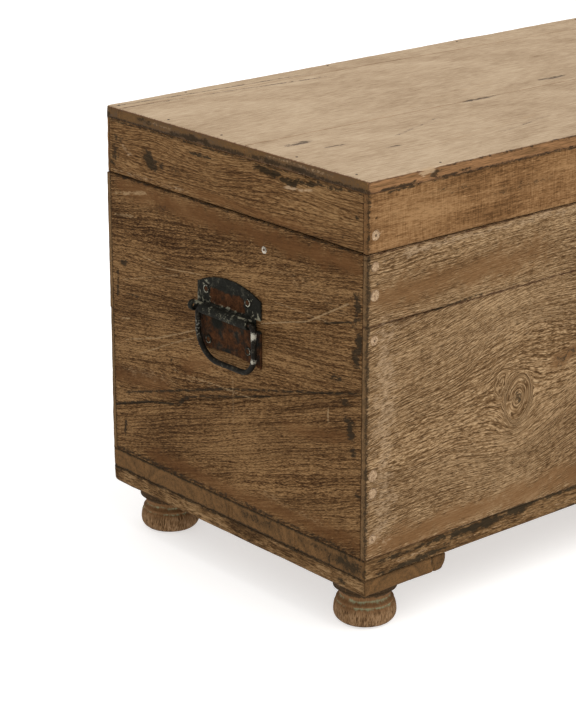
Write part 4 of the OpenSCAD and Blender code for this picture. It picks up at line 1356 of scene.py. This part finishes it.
def screw_marks(share, angle, seed):
    ring = hill(share, 0.8, 0.15) * (0.85 if seed % 2 else 0.6)
    ring = ring * (0.75 + 0.25 * np.cos(angle + seed))
    centre = 1.4 * smooth((0.62 - share) / 0.15)
    return np.stack([centre, ring, 0.8 * hill(share, 0.62, 0.06), 0 * share + 1], 1)


def build_handles():
    for side in ("left", "right"):
        node = side + "_handle_plate"
        direction = "-x" if side == "left" else "+x"
        face = 0.0 if side == "left" else LENGTH
        forged(node, "chest", PLATE_IRON, 0.6, 600, plate_paint(side), 0.22)
        spots = []
        for low, high in islands(side + "_handle_screws"):
            middle = (low + high) / 2
            level = face - PLATE_T if side == "left" else face + PLATE_T
            spots.append((np.array([level, middle[1], middle[2]]), direction, (high[1] - low[1]) / 2 + 0.5))
        disc_piece(side + "_screw_heads", side + "_handle_screws", "chest", SCREW_IRON, spots,
                   SCREW_PROFILE, screw_marks, 0.06)
        build_bail(side)


def build_hinges():
    def rusty(points):
        rust = 0.35 + 0.5 * fbm(points, 14, 810)
        bright = 0.2 * np.clip(fbm(points, 8, 820), 0, 1)
        return np.stack([rust, bright, np.zeros(len(points))], 1)

    for side in ("left", "right"):
        forged(side + "_hinge_box_leaf", "chest", HINGE_IRON, 0.6, 801, rusty, 0.1)
        forged(side + "_hinge_lid_leaf", "lid", HINGE_IRON, 0.6, 802, rusty, 0.1)
    forged("stay_arm", "stay_arm", HINGE_IRON, 0.6, 803, rusty, 0.06)


def keep_small_iron():
    """The nails, pins and screws stay as CAD nodes, with iron on their slots."""
    for name in (
        "corner_nails", "base_nails", "lid_rail_nails", "lid_top_nails", "left_hinge_pin",
        "right_hinge_pin", "hinge_box_screws", "hinge_lid_screws", "stay_stud", "stay_pivot_screw",
    ):
        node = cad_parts[name]
        for place in node.material_slots:
            place.link = "OBJECT"
            place.material = NAIL_IRON


# ---------------------------------------------------------------- room, light and camera


def build_room():
    bpy.ops.mesh.primitive_plane_add(size=60)
    floor = bpy.context.object
    floor.name = "studio_floor"
    s = Shader("studio_floor")
    speck = s.noise(s.node("TexCoord").outputs["Object"], 2.0, 0.5, scale=3.0)
    colour = s.ramp(speck, [(0.3, (0.62, 0.62, 0.62)), (0.7, (0.64, 0.64, 0.64))])
    s.feed(s.surface.inputs["Base Color"], colour)
    s.surface.inputs["Roughness"].default_value = 0.95
    s.surface.inputs["Emission Color"].default_value = (1.0, 0.99, 0.98, 1)
    s.surface.inputs["Emission Strength"].default_value = 0.58
    s.surface.inputs["Specular IOR Level"].default_value = 0.1
    floor.data.materials.append(s.material)

    scene = bpy.context.scene
    scene.view_settings.view_transform = "Standard"
    world = bpy.data.worlds.new("studio")
    world.use_nodes = True
    world.node_tree.nodes["Background"].inputs[0].default_value = (1.0, 0.99, 0.975, 1)
    world.node_tree.nodes["Background"].inputs[1].default_value = 0.95
    scene.world = world
    add_sun("key", azimuth=22, elevation=58, strength=1.25, spread=45, colour=(1.0, 0.98, 0.95))


def add_sun(name, azimuth, elevation, strength, spread, colour):
    """A broad sun: azimuth 0 shines from the front, 90 from the right."""
    light = bpy.data.lights.new(name, "SUN")
    light.energy = strength
    light.angle = math.radians(spread)
    light.color = colour
    lamp = bpy.data.objects.new(name, light)
    lamp.rotation_euler = (math.radians(90 - elevation), 0, math.radians(azimuth))
    bpy.context.scene.collection.objects.link(lamp)


# The photo's camera as fitted: place in metres, pitch and yaw in degrees, lens in mm
CAMERA_PLACE = (-2.0770, -1.9037, 1.110)
CAMERA_PITCH = 19.12
CAMERA_YAW = -40.62
CAMERA_LENS = 123.5


def build_camera():
    camera = bpy.data.cameras.new("camera")
    camera.sensor_width = 36
    camera.lens = CAMERA_LENS
    camera.clip_start, camera.clip_end = 0.05, 100
    holder = bpy.data.objects.new("camera", camera)
    holder.location = CAMERA_PLACE
    holder.rotation_euler = (math.radians(90 - CAMERA_PITCH), 0, math.radians(CAMERA_YAW))
    bpy.context.scene.collection.objects.link(holder)
    bpy.context.scene.camera = holder


build_camera()
build_room()
build_walls()
build_base()
build_lid()
build_feet()
build_plugs()
build_handles()
build_hinges()
keep_small_iron()
